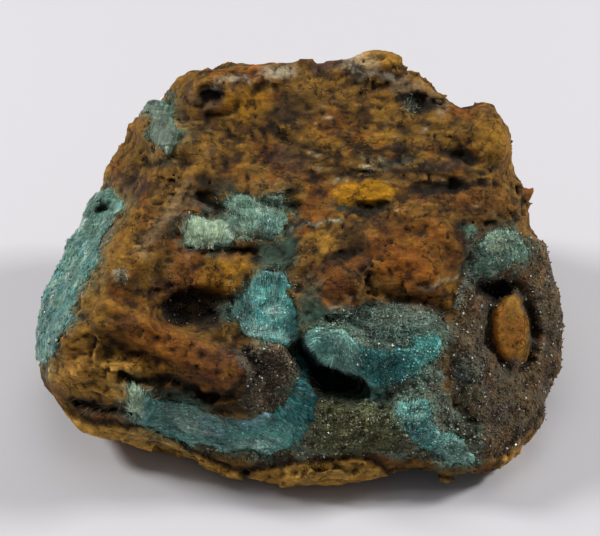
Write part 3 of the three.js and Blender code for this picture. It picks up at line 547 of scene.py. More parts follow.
def settle_squares(values):
    """Fills the nearer outside corner of each square whose inside corners lie crosswise."""
    def part(array, first, second, low, high):
        index = [slice(None)] * 3
        index[first], index[second] = low, high
        return array[tuple(index)]
    head, tail = slice(None, -1), slice(1, None)
    for _ in range(6):
        changed = False
        for first, second in ((0, 1), (1, 2), (2, 0)):
            corners = [part(values, first, second, *ends)
                       for ends in ((head, head), (tail, head), (tail, tail), (head, tail))]
            inside = [corner < 0 for corner in corners]
            crosswise = (inside[0] == inside[2]) & (inside[1] == inside[3]) & (inside[0] != inside[1])
            if not crosswise.any():
                continue
            changed = True
            for a, b in ((0, 2), (1, 3)):
                outside = crosswise & ~inside[a]
                fill_a = outside & (corners[a] <= corners[b])
                fill_b = outside & (corners[a] > corners[b])
                corners[a][fill_a] = JUST_INSIDE
                corners[b][fill_b] = JUST_INSIDE
        if not changed:
            return


def mesh_samples(values, lines):
    """A closed mesh of the zero surface: a vertex in each crossed cell, a quad over each crossed edge."""
    settle_squares(values)
    inside = values < 0
    shape = tuple(np.array(values.shape) - 1)
    total = [np.zeros(shape, np.float32) for _ in range(3)]
    count = np.zeros(shape, np.int8)
    crossed = []
    for axis in range(3):
        low = [slice(None)] * 3
        high = [slice(None)] * 3
        low[axis], high[axis] = slice(None, -1), slice(1, None)
        a, b = values[tuple(low)], values[tuple(high)]
        cross = inside[tuple(low)] != inside[tuple(high)]
        part = np.where(cross, a / np.where(cross, a - b, 1), 0).astype(np.float32)
        crossed.append(cross)
        others = [other for other in range(3) if other != axis]
        for bits in range(4):
            window = [slice(None)] * 3
            for k, other in enumerate(others):
                window[other] = slice(1, None) if bits >> k & 1 else slice(None, -1)
            window = tuple(window)
            count += cross[window]
            total[axis] += part[window]
            for k, other in enumerate(others):
                if bits >> k & 1:
                    total[other] += cross[window]
    cells = np.nonzero(count)
    number = np.full(shape, -1, np.int64)
    number[cells] = np.arange(len(cells[0]))
    share = count[cells].astype(np.float32)
    vertices = np.stack([np.interp(cells[axis] + total[axis][cells] / share, np.arange(len(lines[axis])),
                                   lines[axis]) for axis in range(3)], axis=1)
    quads = []
    for axis in range(3):
        second, third = (axis + 1) % 3, (axis + 2) % 3
        edge = [index.copy() for index in np.nonzero(crossed[axis])]
        keep = (edge[second] > 0) & (edge[third] > 0)
        keep &= (edge[second] < shape[second]) & (edge[third] < shape[third])
        edge = [index[keep] for index in edge]
        solid_first = inside[tuple(edge)]
        ring = []
        for back_second, back_third in ((0, 0), (1, 0), (1, 1), (0, 1)):
            cell = list(edge)
            cell[second] = edge[second] - back_second
            cell[third] = edge[third] - back_third
            ring.append(number[tuple(cell)])
        ring = np.stack(ring, axis=1)
        quads.append(np.where(solid_first[:, None], ring, ring[:, ::-1]))
    return vertices, np.concatenate(quads)


def largest_body(vertices, faces):
    """The mesh without the crumbs that hang loose beside its largest connected part."""
    start, end = faces.ravel(), np.roll(faces, -1, axis=1).ravel()
    label = np.arange(len(vertices))
    while True:
        lowest = label.copy()
        np.minimum.at(lowest, label[start], label[end])
        np.minimum.at(lowest, label[end], label[start])
        np.minimum.at(lowest, start, label[end])
        np.minimum.at(lowest, end, label[start])
        lowest = lowest[lowest]
        if np.array_equal(lowest, label):
            break
        label = lowest
    keep = label == np.bincount(label).argmax()
    number = np.cumsum(keep) - 1
    return vertices[keep], number[faces[keep[faces[:, 0]]]]


def vertex_normals(vertices, faces):
    a, b, c, d = vertices[faces].transpose(1, 0, 2)
    across = np.cross(c - a, d - b)
    total = np.zeros_like(vertices)
    for corner in range(4):
        np.add.at(total, faces[:, corner], across)
    return total / np.maximum(np.linalg.norm(total, axis=1, keepdims=True), 1e-12)


# ---- Colours ----


def colour(text):
    """A linear colour from its sRGB hex text."""
    channels = np.array([int(text[i:i + 2], 16) for i in (1, 3, 5)]) / 255.0
    return np.where(channels <= 0.04045, channels / 12.92, ((channels + 0.055) / 1.055) ** 2.4)


BROWN = colour("#6d4e1f")
OCHRE = colour("#87611f")
RUST = colour("#6a3b14")
ORANGE = colour("#824a10")
UMBER = colour("#3a2814")
PLUM = colour("#41322b")
# near black, used for dark mottles and also for painted shade
SOOT_AND_SHADE = colour("#1d1913")
MUSTARD = colour("#94660c")
GOLD = colour("#8f6824")
BONE = colour("#aaa48e")
TAUPE = colour("#7c6a50")
GREY_DRUSE = colour("#534b3c")
GREEN_DRUSE = colour("#667264")
OLIVE = colour("#62623e")
# dark grey green, used for dark marks and also for painted shade in the void and in crevices
INK_AND_SHADE = colour("#35463f")
TEAL = colour("#549a92")
FLANK_TEAL = colour("#427b75")
CYAN = colour("#72c4bb")
DEEP_TEAL = colour("#1e7173")
PALE_TEAL = colour("#a9cdbe")
MINT = colour("#c2d2ae")
GREY_TEAL = colour("#8da592")
SEA_GREEN = colour("#68907a")
DARK_GREEN = colour("#2c463c")
ICE = colour("#e8f0e6")
PALE_BLUE = colour("#9fc6d0")
RIND = colour("#b2863c")

# Coats of the limonite's front: colour, how strong, how soft, half width, and a chain in the front view.
LIMONITE_CHAINS = [
    (OCHRE, 0.2, 4, 3.4, [(-20, 4), (-24, -3), (-28, -10), (-25, -14)]),  # left ridge
    (GOLD, 0.2, 1.6, 0.8, [(-21.4, 5.4), (-24, 1), (-26.5, -5), (-28.5, -11)]),
    (TAUPE, 0.45, 1.6, 0.8, [(-14, 10), (-17, 6), (-19.8, 2)]),
    (BONE, 0.5, 1, 0.35, [(6.5, 24.8), (7.5, 23.9), (9.4, 24), (11.3, 24.1), (12.8, 23.9)]),  # peak band
    (SOOT_AND_SHADE, 0.8, 0.5, 0.12, [(7, 24.6), (10.5, 24.7), (12.8, 24.7)]),
    (TAUPE, 0.7, 1.6, 0.9, [(12, 22.8), (15, 21.8), (18, 20)]),
    (BONE, 0.55, 0.8, 0.2, [(-10.6, 23.6), (-8.6, 23.9), (-6.6, 23.5)]),
    (ICE, 0.8, 0.3, 0.08, [(-11.4, 22.2), (-10.2, 22.4), (-9.3, 21.8)]),  # arc over the knob
    (SOOT_AND_SHADE, 0.62, 1.4, 0.7, [(-5.9, 17.8), (-1, 16), (2.5, 14.2), (5, 13.4)]),  # upper dark stripe
    (GOLD, 0.55, 0.9, 0.35, [(-5.5, 17), (-1, 14.9), (3.7, 12.2)]),
    (SOOT_AND_SHADE, 0.75, 0.7, 0.25, [(-13.2, 11.2), (-10.6, 10.2), (-7.6, 9.3), (-3.8, 9.2),
                             (-0.4, 9.6)]),  # painted shadow under the arch
    (SOOT_AND_SHADE, 0.6, 1.2, 0.5, [(1.5, 13), (6, 12.4), (11, 12.6)]),  # dark beds
    (SOOT_AND_SHADE, 0.55, 0.8, 0.25, [(3, 11.4), (8, 11.2), (13, 11.6)]),
    (SOOT_AND_SHADE, 0.5, 0.8, 0.3, [(12, 15.6), (16, 15), (19, 14.8)]),
    (MINT, 0.55, 0.4, 0.1, [(7.6, 14.4), (9.2, 14), (10.6, 13.8)]),  # pale beds
    (DARK_GREEN, 0.8, 0.5, 0.16, [(3.8, 7.6), (8, 7.3), (12, 7.5)]),  # painted shadow under the lens
    (GREY_TEAL, 0.7, 0.4, 0.12, [(-1.8, 4.9), (0.6, 5.4), (2.6, 5.7), (5, 6)]),  # thin vein
    (UMBER, 0.75, 1.4, 0.7, [(2.9, 0.6), (6.2, 2.3), (9.8, 2.9)]),  # stripe on the hill
    (UMBER, 0.6, 1, 0.4, [(8, -0.8), (12, -1.8), (16, -1.2), (18.5, 0.2)]),
    (SOOT_AND_SHADE, 0.5, 0.8, 0.3, [(0.8, 0.2), (2.6, -0.4), (5.2, 0.2), (7.2, -1), (7.4, -3.4)]),
    (BONE, 0.8, 0.3, 0.1, [(4.2, -5.1), (5.4, -4.6), (6.4, -3.6), (7.1, -3.4)]),
    (SOOT_AND_SHADE, 0.85, 0.6, 0.25, [(-22.2, -13.2), (-19.4, -14.3), (-15.6, -13.6), (-12.8, -15.4), (-9.9, -15.9),
                             (-7.2, -14.4), (-6.8, -12.4), (-8.4, -10.4), (-9.8, -8.8)]),  # painted shade in the gap round the tongue
    (SOOT_AND_SHADE, 0.5, 0.4, 0.12, [(-13, -12.2), (-11, -13), (-8.6, -12.2)]),
    (SOOT_AND_SHADE, 0.8, 1.4, 0.9, [(-18, -15.6), (-14.6, -15.9), (-11.6, -17.1), (-8.4, -17.4), (-6.2, -15.6),
                           (-6.6, -12.4)]),  # painted shade below the tongue
    (SOOT_AND_SHADE, 0.85, 0.9, 0.45, [(-29, -16.6), (-26.2, -17.2), (-23.8, -17.7), (-20.5, -18.2)]),  # painted shade in the crack
    (RUST, 0.6, 1, 0.4, [(-28.4, -18.2), (-24.6, -19), (-21, -19.2)]),
    (SOOT_AND_SHADE, 0.75, 1.8, 0.9, [(20.4, 5), (21.2, 1.5), (20.6, -2)]),  # dark left of the crust
    (ICE, 0.6, 0.4, 0.12, [(22.5, 1.8), (21, -0.8), (19.9, -3), (19.6, -4.8)]),  # pale veins
    (BONE, 0.6, 0.5, 0.16, [(20.6, -0.6), (18.4, -1.4), (16.4, -2.4), (14.6, -2.6)]),
    (ORANGE, 0.7, 0.6, 0.2, [(24.8, -1.6), (26.6, -1), (28.2, -0.2)]),  # under the right crust
    (ORANGE, 0.6, 0.8, 0.3, [(17.6, -12.6), (18, -13.8)]),
    (ORANGE, 0.6, 1.2, 0.5, [(24, -24.8), (28, -20.8), (31.4, -17)]),  # lower right edge
    (GREY_TEAL, 0.55, 0.6, 0.2, [(32.6, -7.2), (33.2, -9.8)]),
]
# Coats that are ellipses: colour, how strong, how soft, centre, radii and turn in degrees.
LIMONITE_SPOTS = [
    (ORANGE, 0.45, 3, (14.4, 2.6), (5.4, 4.6), 0),  # block on the hill
    (RUST, 0.6, 1.2, (4.6, -2.8), (2.4, 2.4), 0),  # lump at the foot of the hill
    (DARK_GREEN, 0.8, 1.8, (1.5, -4.6), (1.5, 3.2), 0),  # between that lump and the column
    (DARK_GREEN, 0.7, 1.2, (3.4, -6.2), (3, 0.9), 0),
    (ORANGE, 0.5, 2, (3.8, 17.9), (2.4, 2), 0),
    (ORANGE, 0.5, 2, (-17, -9.6), (4.6, 2), -22),  # upper side of the tongue
    (RUST, 0.6, 2, (20.5, 8.6), (5, 1.6), -8),
    (MUSTARD, 0.55, 2, (-6.6, 20.6), (2.8, 2.2), 0),
    (MUSTARD, 0.55, 1.8, (-9, -0.9), (3.2, 2.2), 0),  # ledge over the dark pit
    (SOOT_AND_SHADE, 0.85, 0.8, (-22.3, -17.2), (1.1, 1.3), 0),  # painted shade in the hole beside the tear-drop
    (SOOT_AND_SHADE, 0.7, 0.8, (-20.8, -19.3), (1.5, 0.9), 0),
    (SOOT_AND_SHADE, 0.85, 0.8, (-0.9, 2.6), (0.6, 1), 0),  # painted shade in the crevice right of the neck
    (TEAL, 0.6, 3, (12, -8.2), (6.4, 1.8), 0),  # teal of the druse above the void
    (SEA_GREEN, 0.5, 2, (4.6, -6.4), (3.4, 1.2), -10),
    (TEAL, 0.5, 2.4, (9, -15.8), (4, 1.6), -8),
    (MUSTARD, 0.5, 1.8, (-18.6, -11.8), (3, 1.5), 0),
    (RIND, 0.6, 3, (-24.5, -13.6), (5.5, 3.6), 0),  # ochre lump at the lower left
    (GOLD, 0.6, 1.4, (9.6, 26.2), (3.2, 1.2), 0),  # lobe of the peak
    (BONE, 0.55, 1, (-2.8, 24.6), (2, 0.7), 8),
    (BONE, 0.3, 1.6, (7.4, 25.4), (2, 1.4), 0),
    (SOOT_AND_SHADE, 0.55, 2, (-1.5, 20.1), (2.8, 2.2), 0),  # dark patch on the top
    (PLUM, 0.65, 1.6, (-1.4, 13.8), (2.8, 1.7), -20),
    (SOOT_AND_SHADE, 0.75, 1, (-11.2, 10.3), (1.9, 1), -20),  # sparkling patch left of the arch
    (PLUM, 0.75, 1, (-13, 8.6), (1.4, 0.9), 20),
    (PLUM, 0.8, 0.8, (-11, 7.1), (1.4, 1), 0),  # notch in the vein crust
    (UMBER, 0.6, 1, (-24.7, -9.9), (1.5, 0.5), 0),
    (BONE, 0.55, 0.9, (-22.4, -0.8), (0.9, 0.8), 0),  # whitish crystals on the ridge
    (RUST, 0.6, 1.2, (-22.6, -3.2), (1.6, 1.1), 0),
    (SOOT_AND_SHADE, 0.55, 2.4, (22.6, 3.6), (3.4, 3.4), 0),  # dark ground of the shoulder crust
    (SEA_GREEN, 0.7, 0.6, (21.2, 4.7), (0.6, 0.6), 0),
    (UMBER, 0.5, 1.6, (10.6, 6), (6, 0.9), 6),
    (SEA_GREEN, 0.3, 1.2, (11, 13), (2.6, 0.6), 4),
    (BONE, 0.5, 0.9, (13.9, 20.8), (1.1, 0.6), 0),  # pale crystals in the pit behind the peak
    (DEEP_TEAL, 0.5, 1.4, (21, -12.8), (2.2, 2.2), 0),  # green tints right of the void
    (OLIVE, 0.6, 1.4, (21, -16.8), (2.4, 2.4), 0),
]
# Stone colours of each crust, from the most to the least common, and then of named places of it.
CRUST_COLOURS = {
    "front_hollow_crust": (TEAL, DEEP_TEAL, CYAN),
    "left_flank_crust": (FLANK_TEAL, SEA_GREEN, GREY_TEAL),
    "upper_left_nodule": (SEA_GREEN, DARK_GREEN, GREY_TEAL),
    "upper_vein_crust": (SEA_GREEN, GREY_TEAL, PALE_TEAL),
    "right_shoulder_crust": (SEA_GREEN, DARK_GREEN, MINT),
}
CRUST_SPOTS = [
    (CYAN, 0.8, 1.6, (-3.6, -5), (2.4, 4), 0),  # column
    (DARK_GREEN, 0.9, 1, (-7.8, -4.9), (1.4, 2.7), 0),  # dark green left of the column
    (INK_AND_SHADE, 0.8, 0.6, (-4.4, -1.8), (0.9, 0.6), 20),
    (DARK_GREEN, 0.7, 0.7, (-3, -3.2), (0.7, 0.9), 0),
    (DEEP_TEAL, 0.6, 0.7, (-5.4, -6.2), (0.9, 0.7), 30),
    # painted highlights on the column and at its foot
    (ICE, 0.4, 0.9, (-3.2, -5.4), (1, 0.8), 30),
    (ICE, 0.35, 0.7, (-4.6, -8), (2.4, 0.5), -8),
    (DARK_GREEN, 0.6, 1.2, (-3.4, -0.9), (1.6, 1.1), 0),
    (DEEP_TEAL, 0.85, 1.4, (0.3, -16.2), (2.6, 4.6), -12),  # crescent
    (PALE_TEAL, 0.5, 2, (-9, -20.4), (8.6, 2.8), -10),  # lower band
    (CYAN, 0.85, 1.2, (-4.6, -21), (5.2, 1.6), -2),
    (PALE_TEAL, 0.5, 1.6, (-13, -19.4), (5, 1.6), -12),
    (PALE_BLUE, 0.95, 0.6, (-5.4, -19.2), (2.1, 0.8), 24),
    (GREY_TEAL, 0.5, 1, (-14.6, -18.2), (3.4, 0.8), -10),
    (PALE_BLUE, 0.7, 0.8, (-10.8, -19.9), (2.6, 0.6), -26),
    (DARK_GREEN, 0.7, 0.7, (-7.8, -19.6), (0.4, 0.9), 40),
    (DARK_GREEN, 0.7, 0.6, (-0.4, -21.2), (0.4, 1.6), 35),
    (ICE, 0.6, 0.8, (-12.2, -20.2), (2.8, 0.6), -26),
    (DARK_GREEN, 0.6, 0.7, (-15.8, -19.6), (1.6, 0.4), -24),
    (DEEP_TEAL, 0.7, 0.9, (-10.2, -21.6), (2, 0.5), -14),
    (INK_AND_SHADE, 0.6, 0.5, (-3.4, -19.4), (0.2, 1.5), 50),
    # painted highlight on the lower band
    (ICE, 0.6, 0.8, (-5.8, -21.8), (3.2, 0.6), 4),
    (MINT, 0.85, 0.9, (-20.6, -16.6), (1.1, 2.2), 10),  # tear-drop spray
    (PALE_TEAL, 0.7, 1.4, (3.8, -9.6), (3.4, 2.4), -30),  # fan
    (CYAN, 0.5, 1.4, (2.6, -9.6), (2.6, 1.6), -30),
    (INK_AND_SHADE, 0.6, 0.4, (5, -10.6), (0.2, 1.8), 12),  # painted shade in the breaks between its fibres
    (INK_AND_SHADE, 0.5, 0.4, (3, -10.4), (0.16, 1.6), -20),
    (DEEP_TEAL, 0.75, 1.6, (9.8, -12.2), (3, 2.4), 0),  # dark mass
    (INK_AND_SHADE, 0.75, 0.7, (8, -11.2), (1.6, 0.35), 62),  # painted shade in its crevices
    (INK_AND_SHADE, 0.7, 0.7, (11.2, -11.4), (2, 0.35), 18),
    (INK_AND_SHADE, 0.7, 0.7, (10.8, -13.6), (1.8, 0.35), -20),
    (INK_AND_SHADE, 0.6, 0.7, (13.8, -13.4), (1.4, 0.3), 40),
    (CYAN, 0.8, 1.2, (15.6, -10.2), (1.6, 1.7), 0),
    (PALE_TEAL, 0.5, 1.2, (14.2, -18), (1.5, 1.6), 0),  # tuft
    (DARK_GREEN, 0.6, 1.2, (16.6, -20.2), (1.4, 1.6), 0),
    (PALE_TEAL, 0.7, 1.4, (19.4, -22.8), (2.6, 1.8), -30),
    (CYAN, 0.5, 1.2, (17, -21.2), (1.6, 1.2), -30),
    (MINT, 0.7, 1.2, (-12, 4.4), (2.8, 1.7), 0),  # pale left end of the vein
    (PLUM, 0.75, 0.9, (-9.8, 7.2), (1.8, 0.8), -12),  # brown mottles of the vein
    (TAUPE, 0.65, 1, (-6, 4.4), (2, 0.6), 4),
    (UMBER, 0.6, 0.9, (-3, 7.8), (1.2, 0.9), 0),
    (UMBER, 0.5, 0.8, (-8.2, 5), (0.5, 1.2), 20),
    (SEA_GREEN, 0.6, 1.2, (-6.8, 6.4), (2.2, 1.9), 0),
    (DEEP_TEAL, 0.6, 1, (-3.7, 5.4), (1.3, 1.5), 0),
    (SOOT_AND_SHADE, 0.9, 0.6, (-24.4, 7.6), (0.8, 0.7), 0),  # painted shade in the hole above the flank
    (DARK_GREEN, 0.5, 1, (-18.9, 20), (1.4, 1.2), 0),
    (DARK_GREEN, 0.6, 2.4, (-17.4, 16.4), (2.2, 3), 28),
    (SEA_GREEN, 0.7, 3, (-25.6, 6.6), (3, 3.4), 0),  # painted shade on the top of the flank, here and in the next row
    (DARK_GREEN, 0.35, 2.4, (-25.4, 6), (2.6, 3.4), 0),
    (OLIVE, 0.35, 2, (-18.4, 17.4), (2.8, 4.2), 28),  # nodule
    (DARK_GREEN, 0.6, 1, (24.4, 1), (1.2, 0.5), 30),  # mottles of the shoulder crust
    (UMBER, 0.6, 0.8, (26.6, 3), (0.7, 0.6), 0),
    (DARK_GREEN, 0.6, 0.8, (27.2, 1.4), (0.8, 0.5), 0),
    (MINT, 0.6, 0.8, (24.8, 2.8), (1.2, 0.8), 30),
]


class Painter:
    """The colours of a piece's vertices, laid on in coats."""

    def __init__(self, vertices, faces):
        self.points = vertices
        self.faces = faces
        self.normals = vertex_normals(vertices, faces)
        self.u, self.v, self.near = to_front_view(*vertices.T)
        self.front = smoothstep(self.near, PAINT_BACK, RELIEF_FRONT)
        self.warped_u = self.u + look_up(maps.warp[0], self.u, self.v)
        self.warped_v = self.v + look_up(maps.warp[1], self.u, self.v)
        self.colour = np.tile(BROWN, (len(vertices), 1))
        self.fibre = np.zeros((len(vertices), 3))

    def coat(self, new_colour, amount):
        self.colour += (new_colour - self.colour) * np.clip(amount, 0, 1)[:, None]

    def cloud(self, new_colour, strength, low, high, wavelength, octaves, seed, where=1.0):
        """A coat of noise: none of it where the noise is low and the whole strength where it is high."""
        shade = smoothstep(fractal(self.points, wavelength, octaves, seed), low, high)
        self.coat(new_colour, where * shade * strength)

    # a painted highlight: lightens the colours by the given share
    def paint_highlight(self, amount):
        self.colour *= 1 + amount[:, None]

    def spots(self, rows):
        for new_colour, strength, soft, centre, radii, turn in rows:
            self.coat(new_colour, self.ellipse(centre, radii, turn, soft) * strength)

    def area(self, area, soft=0.8):
        return self.front * coverage(outline_distance(self.warped_u, self.warped_v, area), soft)

    def chain(self, chain, half_width, soft):
        return self.front * coverage(chain_distance(self.warped_u, self.warped_v, chain) - half_width, soft)

    def ellipse(self, centre, radii, turn, soft):
        distance = ellipse_distance(self.warped_u, self.warped_v, centre, radii, turn)
        return self.front * coverage(distance, soft)

    def bulge(self, rounds):
        """How far each vertex stands out of its surroundings once they are smoothed (mm)."""
        start, end = self.faces.ravel(), np.roll(self.faces, -1, axis=1).ravel()
        count = np.bincount(start, minlength=len(self.points))
        smooth = self.points
        for _ in range(rounds):
            smooth = np.stack([np.bincount(start, smooth[end, axis], len(self.points)) / count
                               for axis in range(3)], axis=1)
        return ((self.points - smooth) * self.normals).sum(axis=1)


def paint_mottles(painter, streaked, middle, fine):
    """The brown ground of the whole stone."""
    points = painter.points
    painter.coat(OCHRE, smoothstep(fractal(points, 9.0, 3, 201) + 0.5 * middle, 0.0, 0.6) * 0.75)
    painter.coat(RUST, smoothstep(fractal(points, 6.0, 3, 231) + 0.4 * fine, 0.1, 0.5) * 0.75)
    painter.coat(ORANGE, smoothstep(fractal(points, 4.0, 3, 237) + 0.3 * fine, 0.4, 0.7) * 0.5)
    painter.coat(UMBER, smoothstep(middle + 0.5 * fine, 0.18, 0.42) * 0.85)
    painter.coat(PLUM, smoothstep(fractal(streaked, 4.6, 4, 251) + 0.3 * fine, 0.4, 0.6) * 0.6)
    painter.coat(SOOT_AND_SHADE, smoothstep(fractal(streaked, 3.0, 4, 241) + 0.3 * fine, 0.5, 0.68) * 0.8)


def paint_beds(painter, middle, fine):
    """The layered face of the upper right, with the golden patches beside it."""
    bedded = painter.area(BEDDED_FACE, BED_SOFT)
    slanted = bed_height(painter.u, painter.v, painter.points)
    thin = fractal(np.stack([painter.u / 3.4, slanted / 0.62, painter.near / 2.4], axis=1), 1.0, 2, 97)
    painter.coat(UMBER, bedded * smoothstep(middle + 0.4 * fine, -0.2, 0.5) * 0.4)
    painter.coat(SOOT_AND_SHADE, bedded * smoothstep(thin, 0.2, 0.42) * 0.75)
    painter.coat(GOLD, bedded * smoothstep(-thin, 0.2, 0.5) * 0.4)
    painter.coat(BONE, bedded * smoothstep(-thin, 0.62, 0.8) * 0.5)
    painter.coat(MUSTARD, painter.area(MUSTARD_LENS, 0.6) * 0.92)
    lobes = painter.area(SMOOTH_LOBES, LOBE_SOFT)
    painter.coat(OCHRE, lobes * (0.3 + 0.45 * smoothstep(middle + fine, 0.5, -0.5)))


def paint_druse(painter, middle, fine):
    """The sparkling ground of the hollow and of the right side."""
    mottle = smoothstep(middle + fine, -0.5, 0.7)
    hollow, right = painter.area(DRUSE), painter.area(RIGHT_DRUSE, 1.4)
    painter.coat(GREY_DRUSE, right * (0.65 + 0.3 * mottle))
    painter.cloud(RUST, 0.5, 0.3, 0.8, 2.4, 2, 271, right)
    painter.coat(GREEN_DRUSE, hollow * (0.6 + 0.35 * mottle))
    painter.cloud(SEA_GREEN, 0.5, 0.25, 0.8, 2.2, 2, 273, hollow)
    painter.coat(OLIVE, painter.area(OLIVE_DRUSE, 1.5) * 0.85)
    painter.coat(GREY_DRUSE, painter.area(BALL) * 0.9)
    lens = painter.area(GOLDEN_LENS, 0.7)
    painter.coat(MUSTARD, lens * 0.6)
    painter.coat(ORANGE, lens * smoothstep(middle, -0.2, 0.4) * 0.5)
    # painted shade in the deep pit
    painter.coat(SOOT_AND_SHADE, painter.area(DARK_PIT, 1.4) * 0.8)


def paint_crevices(painter):
    # painted shade in the grooves, along the rind's seam and in the pits
    for chain, half_width, _, soft in DARK_GROOVES:
        painter.coat(SOOT_AND_SHADE, painter.chain(chain, half_width + 0.1, soft) * 0.8)
    painter.coat(SOOT_AND_SHADE, painter.chain(RIND_SEAM, 0.3, 0.8) * 0.85)
    for centre, radii, turn, _, soft in DARK_PITS:
        painter.coat(SOOT_AND_SHADE, painter.ellipse(centre, radii, turn, 0.45 * soft) * 0.9)


SMALL_ROUNDS = 4          # rounds of smoothing that take away the small bulges
BROAD_ROUNDS = 30         # and the broad ones
CRUST_BROAD_ROUNDS = 24


def paint_limonite(painter):
    """Coats from the ground up; each one hides part of those before it."""
    streaked = painter.points * MOTTLE_STRETCH
    middle = fractal(streaked, 3.6, 4, 211)
    fine = fractal(streaked, 0.9, 2, 221)
    paint_mottles(painter, streaked, middle, fine)
    for tone, strength, soft, half_width, chain in LIMONITE_CHAINS:
        painter.coat(tone, painter.chain(chain, half_width, soft) * strength)
    painter.spots(LIMONITE_SPOTS)
    painter.coat(RUST, painter.area(TONGUE, 1.2) * 0.4)
    paint_beds(painter, middle, fine)
    rind = painter.front * smoothstep(np.interp(painter.u, *np.array(RIND_SEAM).T) - painter.v, 0.1, 0.7)
    painter.coat(RIND, rind * 0.8)
    painter.cloud(OLIVE, 0.4, 0.1, 0.7, 2.0, 2, 263, rind)
    paint_druse(painter, middle, fine)
    halo = look_up(maps.halo, painter.u, painter.v)
    painter.coat(SEA_GREEN, painter.front * halo * smoothstep(middle + fine, -0.4, 0.4) * 0.6)
    painter.coat(SEA_GREEN, painter.front * smoothstep(halo, 0.45, 0.6) * 0.4)
    painter.coat(DARK_GREEN, painter.area(NECK, 1.8) * 0.9)
    paint_crevices(painter)
    behind = 1 - painter.front
    painter.cloud(SEA_GREEN, 0.7, 0.62, 0.8, 3.4, 3, 281, behind)
    painter.cloud(RIND, 0.5, 0.15, 0.6, 8.0, 3, 283, behind)
    # painted shade darkens the hollows and creases, and a painted highlight lightens the bumps
    small, broad = painter.bulge(SMALL_ROUNDS), painter.bulge(BROAD_ROUNDS)
    painter.coat(SOOT_AND_SHADE, smoothstep(-small, 0.03, 0.12) * 0.75)
    painter.coat(SOOT_AND_SHADE, smoothstep(-broad, 0.15, 0.75) * 0.6)
    painter.paint_highlight(0.35 * smoothstep(small, 0.02, 0.14) + 0.15 * smoothstep(broad, 0.1, 0.5))
    # painted shade: the deep void is drawn dark
    painter.coat(INK_AND_SHADE, painter.front * coverage(look_up(maps.void, painter.u, painter.v) - 0.2, 0.6))
    painter.cloud(BONE, 0.3, 0.8, 1.2, 0.6, 2, 261, 1 - rind)


def druse_share(painter):
    """How far each vertex of the limonite belongs to the sparkling druse, from 0 to 1."""
    druse = any_of([painter.area(DRUSE), painter.area(RIGHT_DRUSE, 1.2), painter.area(BALL)])
    return druse * (1 - painter.area(GOLDEN_LENS))


STRAND_SIZE = np.array([0.5, 3.0, 1.0])    # mm across and along the fibres; the sprays stay apart
SPRAY_GAP = 3.7                            # from the noise of one spray to the next


def spray_coordinates(painter):
    """Sets each vertex's place across and along the fibres of its spray (mm), and the spray's own place."""
    best = np.full(len(painter.points), np.inf)
    bend = 0.35 * noise(painter.points, 1.6, 601)
    for number, (centre, reach) in enumerate(SPRAYS):
        du, dv = painter.u - centre[0], painter.v - centre[1]
        distance = np.hypot(du, dv)
        closer = distance / reach + bend < best
        best = np.where(closer, distance / reach + bend, best)
        painter.fibre[closer, 0] = (np.arctan2(dv, du) * reach)[closer]
        painter.fibre[closer, 1] = distance[closer]
        painter.fibre[closer, 2] = number * SPRAY_GAP


def paint_crust(painter, name):
    main, second, pale = CRUST_COLOURS[name]
    painter.colour[:] = main
    painter.cloud(second, 0.8, -0.1, 0.3, 2.6, 3, 301)
    painter.cloud(pale, 0.7, 0.2, 0.5, 1.5, 3, 311)
    painter.cloud(DARK_GREEN, 0.6, 0.15, 0.5, 3.4, 3, 341)
    painter.spots(CRUST_SPOTS)
    spray_coordinates(painter)
    strands = noise(painter.fibre / STRAND_SIZE, 1.0, 321)
    painter.coat(DARK_GREEN, smoothstep(-strands, 0.2, 0.7) * 0.5)
    painter.coat(ICE, smoothstep(strands, 0.35, 0.9) * 0.35)
    specks = smoothstep(fractal(painter.points, 0.7, 2, 331), 0.45, 0.9)
    painter.coat(UMBER, specks * 0.5)
    # painted shade darkens the crust's hollows, and a painted highlight lightens its bumps
    small, broad = painter.bulge(SMALL_ROUNDS), painter.bulge(CRUST_BROAD_ROUNDS)
    painter.coat(DARK_GREEN, smoothstep(-small, 0.02, 0.12) * 0.6)
    painter.coat(DARK_GREEN, smoothstep(-broad, 0.08, 0.4) * 0.5)
    painter.paint_highlight(0.3 * smoothstep(small, 0.02, 0.12))
    edge = 1 - smoothstep(look_up(maps.crusts[name], painter.u, painter.v) + 0.2 * specks, 0.45, 0.85)
    painter.coat(SEA_GREEN, edge * 0.5)
    painter.coat(OLIVE, edge * edge * 0.6)
    painter.cloud(UMBER, 0.8, -0.2, 0.3, 1.4, 2, 351, edge * edge)


# ---- Blender objects and materials ----


def add_attribute(mesh, name, kind, slot, values):
    attribute = mesh.attributes.new(name, kind, "POINT")
    attribute.data.foreach_set(slot, values.astype(np.float32).ravel())


